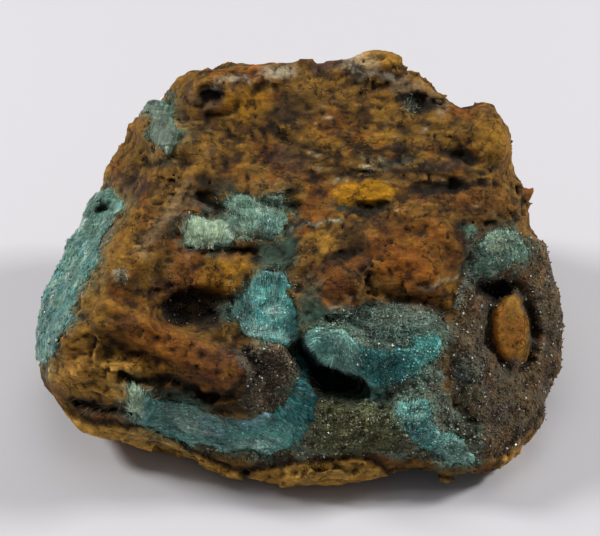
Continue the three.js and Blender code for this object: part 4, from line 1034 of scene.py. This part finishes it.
def add_piece(name, vertices, faces, material, colours, druse=None, fibre=None, smooth=True):
    """A mesh object in metres with its colours, druse and fibres as attributes; it rides on the root."""
    mesh = bpy.data.meshes.new(name)
    corners = faces.shape[1]
    mesh.vertices.add(len(vertices))
    mesh.vertices.foreach_set("co", ((vertices + TO_ORIGIN) * MM).astype(np.float32).ravel())
    mesh.loops.add(faces.size)
    mesh.loops.foreach_set("vertex_index", faces.astype(np.int32).ravel())
    mesh.polygons.add(len(faces))
    mesh.polygons.foreach_set("loop_start", np.arange(0, faces.size, corners, dtype=np.int32))
    mesh.polygons.foreach_set("loop_total", np.full(len(faces), corners, np.int32))
    mesh.polygons.foreach_set("use_smooth", np.full(len(faces), smooth))
    add_attribute(mesh, "tint", "FLOAT_COLOR", "color", np.column_stack([colours, np.ones(len(vertices))]))
    if druse is not None:
        add_attribute(mesh, "druse", "FLOAT", "value", druse)
    if fibre is not None:
        add_attribute(mesh, "fibre", "FLOAT_VECTOR", "vector", fibre)
    mesh.update(calc_edges=True)
    mesh.validate()
    mesh.materials.append(material)
    piece = bpy.data.objects.new(name, mesh)
    bpy.context.scene.collection.objects.link(piece)
    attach(piece, "root")
    return piece


MATT_ROUGHNESS = 0.84     # of the limonite away from its glints


def per_mm(wavelength):
    """A texture scale that gives features of this many millimetres."""
    return 1.0 / (wavelength * MM)


class Nodes:
    """Short hand for building one material's node tree."""

    def __init__(self, name):
        self.material = bpy.data.materials.new(name)
        self.material.use_nodes = True
        self.tree = self.material.node_tree
        self.shader = self.tree.nodes["Principled BSDF"]

    def add(self, kind, inputs=None, **settings):
        node = self.tree.nodes.new(kind)
        for key, value in settings.items():
            setattr(node, key, value)
        for key, value in (inputs or {}).items():
            if isinstance(value, bpy.types.NodeSocket):
                self.tree.links.new(value, node.inputs[key])
            else:
                node.inputs[key].default_value = value
        return node

    def maths(self, operation, a, b=0.0, clamp=False):
        return self.add("ShaderNodeMath", {0: a, 1: b}, operation=operation, use_clamp=clamp).outputs[0]

    def product(self, a, b):
        return self.maths("MULTIPLY", a, b)

    def ramp(self, value, low, high, to_low=0.0, to_high=1.0):
        node = self.add("ShaderNodeMapRange", {"Value": value, "From Min": low, "From Max": high,
                                               "To Min": to_low, "To Max": to_high})
        return node.outputs["Result"]

    def between(self, share, at_none, at_whole):
        return self.ramp(share, 0.0, 1.0, at_none, at_whole)

    def place(self):
        return self.add("ShaderNodeTexCoord").outputs["Object"]

    def stretched(self, place, factors):
        node = self.add("ShaderNodeVectorMath", {0: place, 1: factors}, operation="MULTIPLY")
        return node.outputs["Vector"]

    def attribute(self, name, output):
        return self.add("ShaderNodeAttribute", attribute_name=name).outputs[output]

    def noise(self, place, scale, detail=3.0, roughness=0.5):
        return self.add("ShaderNodeTexNoise", {"Vector": place, "Scale": scale, "Detail": detail,
                                               "Roughness": roughness}).outputs["Fac"]

    def cells(self, place, size_mm):
        """Distances within small random cells, and two random numbers for each cell."""
        cells = self.add("ShaderNodeTexVoronoi", {"Vector": place, "Scale": per_mm(size_mm)})
        chance = self.add("ShaderNodeSeparateColor", {"Color": cells.outputs["Color"]})
        return cells.outputs["Distance"], chance.outputs["Red"], chance.outputs["Green"]

    def colour_by(self, shade):
        """Links the base colour: the vertices' own tint multiplied by a grey value."""
        grey = self.add("ShaderNodeCombineColor", {"Red": shade, "Green": shade, "Blue": shade})
        mix = self.add("ShaderNodeMix", {"Factor": 1.0, 6: self.attribute("tint", "Color"),
                                         7: grey.outputs["Color"]}, data_type="RGBA", blend_type="MULTIPLY")
        self.link(mix.outputs[2], "Base Color")

    def bump(self, height, distance_mm, strength, below=None):
        inputs = {"Height": height, "Strength": strength, "Distance": distance_mm * MM}
        if below is not None:
            inputs["Normal"] = below
        return self.add("ShaderNodeBump", inputs).outputs["Normal"]

    def link(self, value, socket):
        self.tree.links.new(value, self.shader.inputs[socket])


def limonite_material():
    """Earthy and mottled, with the small facets of druse where the druse attribute asks for them."""
    nodes = Nodes("earthy_limonite")
    place = nodes.place()
    druse = nodes.attribute("druse", "Fac")
    fine = nodes.noise(nodes.stretched(place, (0.45, 0.8, 1.5)), per_mm(0.7), 7.0, 0.66)
    coarse = nodes.noise(place, per_mm(2.4), 4.0)
    facet, chance, other_chance = nodes.cells(place, 0.26)
    line = nodes.maths("ABSOLUTE", nodes.maths("SUBTRACT", nodes.noise(place, per_mm(3.1), 5.0, 0.6), 0.5))
    crack = nodes.maths("ADD", nodes.ramp(line, 0.004, 0.02), nodes.ramp(coarse, 0.45, 0.6), clamp=True)
    shade = nodes.maths("ADD", nodes.ramp(fine, 0.3, 0.7, 0.5, 1.42),
                        nodes.ramp(coarse, 0.3, 0.7, -0.14, 0.14))
    shade = nodes.product(shade, nodes.between(crack, 0.35, 1.0))
    nodes.colour_by(nodes.product(shade, nodes.between(chance, 0.82, 1.2)))
    glint = nodes.product(nodes.ramp(other_chance, 0.8, 0.9), nodes.between(druse, 0.10, 1.0))
    nodes.link(nodes.product(nodes.between(glint, 1.0, 0.28), MATT_ROUGHNESS), "Roughness")
    low = nodes.bump(fine, 0.15, 1.0, nodes.bump(crack, 0.12, 0.8))
    crumbs = nodes.bump(nodes.noise(place, per_mm(0.2), 4.0, 0.6), 0.045, 0.7, low)
    nodes.link(nodes.bump(facet, 0.13, nodes.between(druse, 0.1, 1.0), crumbs), "Normal")
    nodes.shader.inputs["Specular IOR Level"].default_value = 0.16
    return nodes.material


def aurichalcite_material():
    """Silky fibres: streaks along the fibre attribute, with small bright scales."""
    nodes = Nodes("silky_aurichalcite")
    place = nodes.place()
    fibre = nodes.attribute("fibre", "Vector")
    strands = nodes.noise(nodes.stretched(fibre, (1 / 0.14, 1 / 2.6, 1.0)), 1.0, 3.0, 0.6)
    bundles = nodes.noise(nodes.stretched(fibre, (1 / 0.55, 1 / 4.0, 1.0)), 1.0, 2.0)
    cloud = nodes.noise(place, per_mm(1.1), 5.0, 0.6)
    scale, _, chance = nodes.cells(place, 0.3)
    shade = nodes.product(nodes.ramp(strands, 0.32, 0.68, 0.6, 1.42),
                          nodes.ramp(bundles, 0.3, 0.7, 0.62, 1.36))
    nodes.colour_by(nodes.product(shade, nodes.ramp(cloud, 0.3, 0.7, 0.45, 1.55)))
    glint = nodes.ramp(chance, 0.86, 0.93)
    nodes.link(nodes.between(glint, 0.5, 0.2), "Roughness")
    low = nodes.bump(strands, 0.10, 1.0, nodes.bump(bundles, 0.3, 0.9))
    nodes.link(nodes.bump(scale, 0.08, nodes.between(glint, 0.3, 1.0), low), "Normal")
    nodes.shader.inputs["Specular IOR Level"].default_value = 0.5
    nodes.shader.inputs["Sheen Weight"].default_value = 0.15
    return nodes.material


def crystal_material(name, low_roughness, high_roughness, wavelength_mm):
    """Small bright crystals: each takes its own tint, with a little cloudiness."""
    nodes = Nodes(name)
    cloud = nodes.noise(nodes.place(), per_mm(wavelength_mm), 3.0)
    nodes.colour_by(nodes.ramp(cloud, 0.3, 0.7, 0.75, 1.3))
    nodes.link(nodes.ramp(cloud, 0.3, 0.7, low_roughness, high_roughness), "Roughness")
    nodes.link(nodes.bump(cloud, 0.03, 0.5), "Normal")
    nodes.shader.inputs["Specular IOR Level"].default_value = 0.6
    return nodes.material


# ---- The limonite and the crusts ----

CRUST_SINK = 0.8         # how far the limonite lies under a crust's face
FIELD_BAND = 2.2         # samples this near to the surface get the rough detail
CRUST_LIFT = 0.2         # how far a crust's face stands in front of the smooth stone's
CRUST_DEPTH = 1.4        # and how far behind it the crust ends
CRUST_DROP = 2.2         # how far a crust's face dives under the limonite outside its area
CRUST_CELL = 0.25        # the grid on which a crust is sampled
CRUST_MARGIN = 1.2       # how far that grid reaches past the CAD crust's box
CRUST_SWELL_HEIGHT, CRUST_SWELL_WIDTH = 0.3, 2.4
CRUST_KNOB_HEIGHT, CRUST_KNOB_WIDTH = 0.28, 1.5


def build_limonite():
    lines = [grid_lines(axis, STONE_CELLS[0][axis], STONE_CELLS[1][axis]) for axis in range(3)]
    field, u, v, _, share = stone_samples(lines)
    field = field + share * CRUST_SINK * smoothstep(look_up(maps.crust, u, v), 0.6, 1.0)
    band = np.abs(field) < FIELD_BAND
    points = grid_points(lines, band)
    field[band] -= limonite_roughness(points, u[band], v[band], share[band])
    field = np.maximum(field, -lines[2][None, None, :])
    painter = Painter(*largest_body(*mesh_samples(field, lines)))
    paint_limonite(painter)
    piece = add_piece("limonite", painter.points, painter.faces, limonite_material(), painter.colour,
                      druse=druse_share(painter))
    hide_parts("limonite_matrix")
    return painter


def build_crust(node, material):
    low, high = (np.array(corner) / MM - TO_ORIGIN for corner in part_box(node))
    lines = [np.arange(low[axis] - CRUST_MARGIN, high[axis] + CRUST_MARGIN, CRUST_CELL) for axis in range(3)]
    field, u, v, near, _ = stone_samples(lines)
    cover = look_up(maps.crusts[node], u, v)
    band = np.abs(field) < FIELD_BAND
    points = grid_points(lines, band)
    bumps = np.zeros_like(field)
    knobs = 0.5 - cell_noise(points, CRUST_KNOB_WIDTH, 411)[0]
    swell = fractal(points, CRUST_SWELL_WIDTH, 4, 401, 0.6)
    bumps[band] = CRUST_SWELL_HEIGHT * swell + CRUST_KNOB_HEIGHT * knobs
    top = field - bumps - CRUST_LIFT * cover + CRUST_DROP * (1 - cover) ** 2
    shell = np.maximum(top, -(field + CRUST_DEPTH))
    shell = np.maximum(shell, CRUST_BACK - near)
    painter = Painter(*mesh_samples(shell, lines))
    paint_crust(painter, node)
    piece = add_piece(node + "_skin", painter.points, painter.faces, material, painter.colour,
                      fibre=painter.fibre)
    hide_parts(node)
    return painter


# ---- Needles and grains that grow on the front ----

# Beds of needles: the area (None for the crusts' borders), how many, the shortest and longest (mm), the
# place that they point away from (None for every way), how steeply they rise from the surface (degrees),
# and their colours.
TEALS = (TEAL, DEEP_TEAL, PALE_TEAL, CYAN)
PALES = (PALE_TEAL, ICE, MINT, GREY_TEAL)
GREYS = (GREY_TEAL, SEA_GREEN, PALE_TEAL, DEEP_TEAL)
FAN = [(0.2, -8.8), (1.4, -7.6), (4.9, -7.4), (7.2, -9.6), (7.4, -13.4), (4.6, -12.8), (1.8, -11.8)]
COLUMN = [
    (-5, -0.8), (-2.2, -0.4), (-0.6, -6.8), (-0.4, -9), (-2.6, -9.3), (-6.4, -8.2), (-8.4, -5.8),
    (-8, -3.2),
]
COLUMN_FOOT = [(-7.8, -8), (-4.5, -9.6), (-0.6, -9.7), (-0.6, -8.4), (-4.2, -8.4), (-7.2, -6.8)]
CRESCENT = [
    (-0.8, -9.9), (0.4, -11), (1.5, -12.6), (2, -14.4), (1.8, -18.4), (1.1, -20.1), (-1.2, -22),
    (-4.8, -19.8), (-2.1, -17), (-0.4, -14.9), (-0.2, -11.8),
]
LOWER_BAND = [
    (-19.2, -16.4), (-15.5, -16.9), (-12, -18), (-7, -19.2), (-3.9, -18.4), (-1.4, -20.4), (-1.2, -22.4),
    (-7.5, -22.8), (-13.8, -21.8), (-18.8, -20.2),
]
FRINGE = [
    (-18, -20.4), (-13.5, -21.8), (-7.5, -22.9), (-1.2, -22.6), (0.6, -21.2), (1, -22.8), (-4, -24.2),
    (-9, -23.8), (-14.4, -22.2),
]
TEAR_DROP = [
    (-21.8, -15), (-20.8, -14.5), (-19.8, -15), (-19.4, -16.5), (-19.5, -18.2), (-20.1, -19.4),
    (-21.1, -19.1), (-21.6, -17.5),
]
DARK_MASS = [(7.4, -9.8), (11.5, -10.5), (14.6, -10.6), (14.8, -13), (11, -14.6), (7.6, -14)]
PALE_CORNER = [(13.8, -9.6), (16, -8.5), (17.4, -8.8), (17.6, -10.4), (17, -11.8), (14.4, -11.6)]
OVER_VOID = [(4, -6), (8, -5), (13.5, -4.6), (17.6, -6), (18, -8.4), (13.6, -9), (9, -9.6), (6.4, -8)]
TUFT = [(12.4, -16.6), (14, -16.2), (15.6, -16.6), (16.6, -18.2), (16.2, -20.4), (14, -21.6), (12.4, -19.4)]
TUFT_TAIL = [
    (16.4, -19.8), (19.5, -21), (21.4, -22.6), (21.6, -24.2), (19, -24.3), (16.6, -23), (14.4, -22),
]
VEIN_LEFT = [(-14.8, 4.4), (-14.5, 6.2), (-12.5, 6.4), (-10, 5.6), (-8.6, 3.4), (-11.4, 2.6), (-13.8, 2.7)]
VEIN_MIDDLE = [(-9.5, 6.6), (-9.2, 8.6), (-5.2, 8.8), (-2.4, 8.8), (-1.6, 6.6), (-2.6, 3.8), (-7.6, 3.6)]
SHOULDER = [
    (22, 1.2), (23.5, 3.8), (25, 4.8), (26.8, 4.6), (28.2, 3.2), (28.2, 1.4), (24.6, -0.6), (22.2, -1),
]
FLANK = [
    (-26.4, 8.6), (-23.9, 9.6), (-23.2, 5), (-25.6, 0.2), (-28.4, -5.6), (-31.4, -12), (-34, -11),
    (-35, -3), (-30, 8),
]
CRACK = [(-28.8, -16.2), (-26.2, -17), (-23.8, -17.4), (-21.5, -16.8), (-22, -18.2), (-26.4, -18.4)]
RIDGE_PATCH = [(-23.4, -0.2), (-22.4, 0.1), (-21.4, -0.4), (-21.8, -2), (-23, -2)]
PEAK_PIT = [(12.6, 21.2), (13.9, 21.7), (15.2, 21.2), (15.2, 20.4), (13.8, 19.2), (12.8, 19.6)]
RIGHT_VEIN = [(22.6, 2.2), (21.2, 0), (19.9, -2.6), (19.2, -5), (19.9, -5.2), (21, -1.8), (22.4, 0.2)]
NEEDLE_BEDS = [
    (COLUMN, 2400, 0.3, 1.1, (-4, -11.5), 14, TEALS + (ICE,)),
    (COLUMN_FOOT, 260, 0.3, 1, (-4, -12), 35, PALES),
    (FAN, 2400, 0.7, 2, (5.8, -6.6), 3, GREYS),
    (CRESCENT, 1500, 0.5, 1.6, (-4.2, -13.8), 3, TEALS),
    (LOWER_BAND, 3800, 0.4, 1.6, (1.6, -23), 8, PALES + (CYAN, CYAN, PALE_BLUE, TEAL)),
    (FRINGE, 900, 0.2, 0.7, (-6, -12), 25, GREYS),
    (TEAR_DROP, 420, 0.6, 1.6, (-20.6, -20.6), 8, PALES),
    (DARK_MASS, 1900, 0.4, 1.3, (11, -17.5), 12, TEALS),
    (PALE_CORNER, 520, 0.4, 1.1, (17.8, -13), 14, (CYAN, PALE_TEAL, TEAL)),
    (OVER_VOID, 2200, 0.3, 1.6, None, 26, PALES + TEALS),
    (TUFT, 1100, 0.4, 1.2, (13.8, -21), 18, TEALS + (ICE,)),
    (TUFT_TAIL, 1600, 0.3, 1.1, (13, -18), 14, PALES + (TEAL, CYAN)),
    (VEIN_LEFT, 1100, 0.4, 1.3, (-12, -4), 8, (MINT, PALE_TEAL, ICE, MINT)),
    (VEIN_MIDDLE, 1500, 0.3, 1.1, (-5.6, 1), 14, (SEA_GREEN, GREY_TEAL, PALE_TEAL, MINT)),
    (SHOULDER, 1200, 0.3, 1, (25.4, -3), 16, (MINT, SEA_GREEN, PALE_TEAL, ICE)),
    (FLANK, 4400, 0.2, 0.8, (-10, 40), 8, (TEAL, GREY_TEAL, PALE_TEAL, SEA_GREEN, ICE)),
    (CRACK, 90, 0.8, 2, (-20, -14), 20, (BONE, TAUPE)),
    (RIDGE_PATCH, 160, 0.2, 0.6, None, 35, (BONE, ICE, GREY_TEAL)),
    (PEAK_PIT, 200, 0.2, 0.8, None, 35, (BONE, GREY_TEAL, MINT)),
    (RIGHT_VEIN, 300, 0.3, 0.9, None, 30, PALES),
    (None, 5200, 0.3, 0.8, None, 9, GREYS + (OLIVE, DARK_GREEN, UMBER)),
]
# Beds of grains: the area, how many, and the smallest and largest (mm).
GRAIN_BEDS = [
    (DRUSE, 3800, 0.1, 0.28), (RIGHT_DRUSE, 3600, 0.1, 0.28), (OLIVE_DRUSE, 1300, 0.1, 0.24),
    (BALL, 1100, 0.1, 0.26), (DARK_PIT, 400, 0.1, 0.24), (COLUMN, 260, 0.1, 0.26),
    (LOWER_BAND, 900, 0.1, 0.24), (FRINGE, 500, 0.1, 0.24), (FLANK, 900, 0.08, 0.22),
    (VEIN_MIDDLE, 300, 0.1, 0.22), (SHOULDER, 260, 0.1, 0.22), (DARK_MASS, 260, 0.1, 0.22),
    (TUFT, 160, 0.1, 0.22), (TUFT_TAIL, 260, 0.1, 0.22), (OVER_VOID, 500, 0.1, 0.26),
]
NEEDLE_WIDTH = (0.06, 0.14)
NEEDLE_BRIGHTNESS = (0.7, 1.35)
NEEDLE_SPREAD = 0.14      # how far needles stray from their bed's way, in radians
NEEDLE_SCATTER = 0.15     # how far their roots are shifted (mm)
NEEDLE_SINK = 0.25        # the share of a needle below the surface
NEEDLE_OWN_SHARE = 0.38   # the share of its bed's colours; the rest comes from the surface below it
GRAIN_PROPORTIONS = (0.45, 1.0)
GRAIN_BRIGHTNESS = (0.6, 1.45)
GRAIN_SCATTER = 0.16      # how far grains are shifted (mm)
GRAIN_RISE = 0.15         # how far a grain's middle lies above the surface, as a share of its size
GLINT_PAINTED_GRAINS = 0.05      # the share of grains painted near white as glints


TRIES = 6                 # places drawn for each crystal that an area asks for, since some fall outside
BORDER_TRIES = 30         # and for each one on the crusts' borders
BORDER_COVER = (0.02, 0.9)


class FrontSurface:
    """The vertices that face the front view, found by their place in it."""

    STEP = 0.32           # the size of the cells, each with the vertex nearest to the viewer

    def __init__(self, painters):
        self.points = np.concatenate([painter.points for painter in painters])
        self.normals = np.concatenate([painter.normals for painter in painters])
        self.colours = np.concatenate([painter.colour for painter in painters])
        u, v, near = to_front_view(*self.points.T)
        self.rows = int(np.ceil((MAP_V[-1] - MAP_V[0]) / self.STEP)) + 1
        order = np.argsort(near)
        self.nearest = np.full(int(np.ceil((MAP_U[-1] - MAP_U[0]) / self.STEP) + 1) * self.rows, -1)
        self.nearest[self.cell(u[order], v[order])] = order

    def cell(self, u, v):
        i = np.clip((u - MAP_U[0]) / self.STEP, 0, None).astype(int)
        j = np.clip((v - MAP_V[0]) / self.STEP, 0, self.rows - 1).astype(int)
        return i * self.rows + j

    def scatter(self, area, count, chance):
        """Random places of an area, or of the crusts' borders: their vertices and front view places."""
        if area is None:
            places = chance.uniform((MAP_U[0], MAP_V[0]), (MAP_U[-1], MAP_V[-1]), (count * BORDER_TRIES, 2))
            cover = look_up(maps.crust, *places.T)
            places = places[(cover > BORDER_COVER[0]) & (cover < BORDER_COVER[1])][:count]
        else:
            corners = np.array(area)
            places = chance.uniform(corners.min(axis=0), corners.max(axis=0), (count * TRIES, 2))
            places = places[outline_distance(*places.T, area) < 0][:count]
        vertex = self.nearest[self.cell(*places.T)]
        return vertex[vertex >= 0], places[vertex >= 0]


def unit(vectors):
    return vectors / np.maximum(np.linalg.norm(vectors, axis=1, keepdims=True), 1e-9)


def above_ground(crystals):
    """Crystals, each as its corners, raised where they would dip below the floor."""
    dip = np.minimum(crystals[:, :, 2].min(axis=1), 0)
    crystals[:, :, 2] -= dip[:, None]
    return crystals


def grow_needles(surface):
    """Thin tapered slivers, each with its own colour, laid along their bed."""
    chance = np.random.RandomState(17)
    vertices, colours = [], []
    for area, count, shortest, longest, source, rise, palette in NEEDLE_BEDS:
        picked, places = surface.scatter(area, count, chance)
        n = len(picked)
        u, v = places.T
        normal = surface.normals[picked]
        angle = chance.uniform(0, 2 * np.pi, n)
        if source is not None:
            angle = np.arctan2(v - source[1], u - source[0]) + chance.normal(0, NEEDLE_SPREAD, n)
        near = to_front_view(*surface.points[picked].T)[2]
        heading = from_front_view(u + np.cos(angle), v + np.sin(angle), near) - from_front_view(u, v, near)
        heading = unit(heading - normal * (heading * normal).sum(axis=1, keepdims=True))
        lift = np.radians(np.abs(chance.normal(rise, 0.35 * rise, n)))[:, None]
        along = unit(heading * np.cos(lift) + normal * np.sin(lift))
        side = unit(np.cross(along, normal))
        top = np.cross(side, along)
        length = chance.uniform(shortest, longest, n)[:, None]
        width = chance.uniform(*NEEDLE_WIDTH, n)[:, None]
        root = surface.points[picked] + side * chance.uniform(-NEEDLE_SCATTER, NEEDLE_SCATTER, (n, 1))
        root = root - along * NEEDLE_SINK * length
        root = root + heading * chance.uniform(-NEEDLE_SCATTER, NEEDLE_SCATTER, (n, 1))
        vertices.append(np.stack([root - side * width / 2, root + side * width / 2, root + top * width * 0.8,
                                  root + along * length], axis=1))
        tone = np.array(palette)[chance.randint(0, len(palette), n)]
        tone = NEEDLE_OWN_SHARE * tone + (1 - NEEDLE_OWN_SHARE) * surface.colours[picked]
        tone = tone * chance.uniform(*NEEDLE_BRIGHTNESS, (n, 1))
        colours.append(np.repeat(tone[:, None], 4, axis=1))
    vertices = above_ground(np.concatenate(vertices)).reshape(-1, 3)
    colours = np.concatenate(colours).reshape(-1, 3)
    sliver = np.array([(0, 2, 3), (2, 1, 3), (1, 0, 3), (0, 1, 2)])
    faces = (np.arange(len(vertices) // 4)[:, None, None] * 4 + sliver).reshape(-1, 3)
    material = crystal_material("needle_crystals", 0.22, 0.42, 0.5)
    piece = add_piece("crystal_needles", vertices, faces, material, np.clip(colours, 0, 1), smooth=False)


def grow_grains(surface):
    """Small lopsided octahedra, half sunk in the druse."""
    chance = np.random.RandomState(23)
    picked, sizes = [], []
    for area, count, smallest, largest in GRAIN_BEDS:
        vertex, places = surface.scatter(area, count, chance)
        vertex = vertex[outline_distance(*places.T, GOLDEN_LENS) > 0]
        picked.append(vertex)
        sizes.append(chance.uniform(smallest, largest, len(vertex)))
    picked = np.concatenate(picked)
    sizes = np.concatenate(sizes)[:, None, None]
    n = len(picked)
    first = unit(chance.normal(size=(n, 3)))
    second = unit(np.cross(first, chance.normal(size=(n, 3))))
    axes = np.stack([first, second, np.cross(first, second)], axis=1)
    axes = axes * chance.uniform(*GRAIN_PROPORTIONS, (n, 3, 1)) * sizes
    centre = surface.points[picked] + surface.normals[picked] * sizes[:, 0] * GRAIN_RISE
    centre = centre + chance.uniform(-GRAIN_SCATTER, GRAIN_SCATTER, (n, 3))
    corners = np.concatenate([centre[:, None] + axes, centre[:, None] - axes], axis=1)
    vertices = above_ground(corners).reshape(-1, 3)
    octahedron = [(0, 1, 2), (1, 3, 2), (3, 4, 2), (4, 0, 2), (1, 0, 5), (3, 1, 5), (4, 3, 5), (0, 4, 5)]
    faces = (np.arange(n)[:, None, None] * 6 + np.array(octahedron)).reshape(-1, 3)
    tone = surface.colours[picked] * chance.uniform(*GRAIN_BRIGHTNESS, (n, 1))
    # painted glints: a few grains are tinted near white
    bright = chance.uniform(size=n) < GLINT_PAINTED_GRAINS
    tone[bright] = 0.35 * tone[bright] + 0.65 * ICE * chance.uniform(0.5, 1.0, (bright.sum(), 1))
    colours = np.repeat(tone[:, None], 6, axis=1).reshape(-1, 3)
    material = crystal_material("druse_crystals", 0.2, 0.45, 0.4)
    piece = add_piece("druse_grains", vertices, faces, material, np.clip(colours, 0, 1), smooth=False)


limonite = build_limonite()
silky = aurichalcite_material()
crusts = [build_crust(node, silky) for node in CRUST_AREAS]
front_surface = FrontSurface([limonite, *crusts])
grow_needles(front_surface)
grow_grains(front_surface)

# ---- Stage, lights and camera ----

FLOOR_REACH = 1.5                        # half the floor's side (m)
FLOOR_COLOUR = (0.60, 0.588, 0.607)
LAMP_TARGET = Vector((0, 0, 0.015))
WORLD_COLOUR = (0.93, 0.93, 1.0)
WORLD_STRENGTH = 0.15
SENSOR_WIDTH = 36.0


def plain_material(name, rgb, roughness):
    nodes = Nodes(name)
    nodes.shader.inputs["Base Color"].default_value = (*rgb, 1.0)
    nodes.shader.inputs["Roughness"].default_value = roughness
    return nodes.material


def add_floor():
    mesh = bpy.data.meshes.new("floor")
    corners = [(FLOOR_REACH * i, FLOOR_REACH * j, 0) for i, j in ((-1, -1), (1, -1), (1, 1), (-1, 1))]
    mesh.from_pydata(corners, [], [(0, 1, 2, 3)])
    mesh.materials.append(plain_material("pale_floor", FLOOR_COLOUR, 0.9))
    floor = bpy.data.objects.new("floor", mesh)
    bpy.context.scene.collection.objects.link(floor)


def add_area_light(name, place, size, power):
    light = bpy.data.lights.new(name, "AREA")
    light.energy = power
    light.size = size
    lamp = bpy.data.objects.new(name, light)
    lamp.location = place
    lamp.rotation_euler = (LAMP_TARGET - Vector(place)).to_track_quat("-Z", "Y").to_euler()
    bpy.context.scene.collection.objects.link(lamp)


def add_camera():
    data = bpy.data.cameras.new("camera")
    data.sensor_width = SENSOR_WIDTH
    data.lens = data.sensor_width * VIEW_DISTANCE / VIEW_WIDTH
    data.clip_start = 0.01
    data.clip_end = 10.0
    camera = bpy.data.objects.new("camera", data)
    centre = Vector((VIEW_CENTRE + TO_ORIGIN) * MM)
    outward = Vector((0, -math.cos(VIEW_TILT), math.sin(VIEW_TILT)))
    camera.location = centre + outward * VIEW_DISTANCE * MM
    camera.rotation_euler = (-outward).to_track_quat("-Z", "Y").to_euler()
    bpy.context.scene.collection.objects.link(camera)
    bpy.context.scene.camera = camera


def add_world():
    world = bpy.data.worlds.new("studio")
    world.use_nodes = True
    background = world.node_tree.nodes["Background"]
    background.inputs["Color"].default_value = (*WORLD_COLOUR, 1.0)
    background.inputs["Strength"].default_value = WORLD_STRENGTH
    bpy.context.scene.world = world


bpy.context.scene.view_settings.view_transform = "Standard"
add_floor()
add_world()
add_area_light("left_lamp", (-0.40, 0.08, 0.32), 0.10, 2.0)
add_area_light("right_lamp", (0.40, 0.09, 0.32), 0.10, 1.9)
add_area_light("top_lamp", (0.0, 0.06, 0.6), 0.4, 0.9)
add_camera()
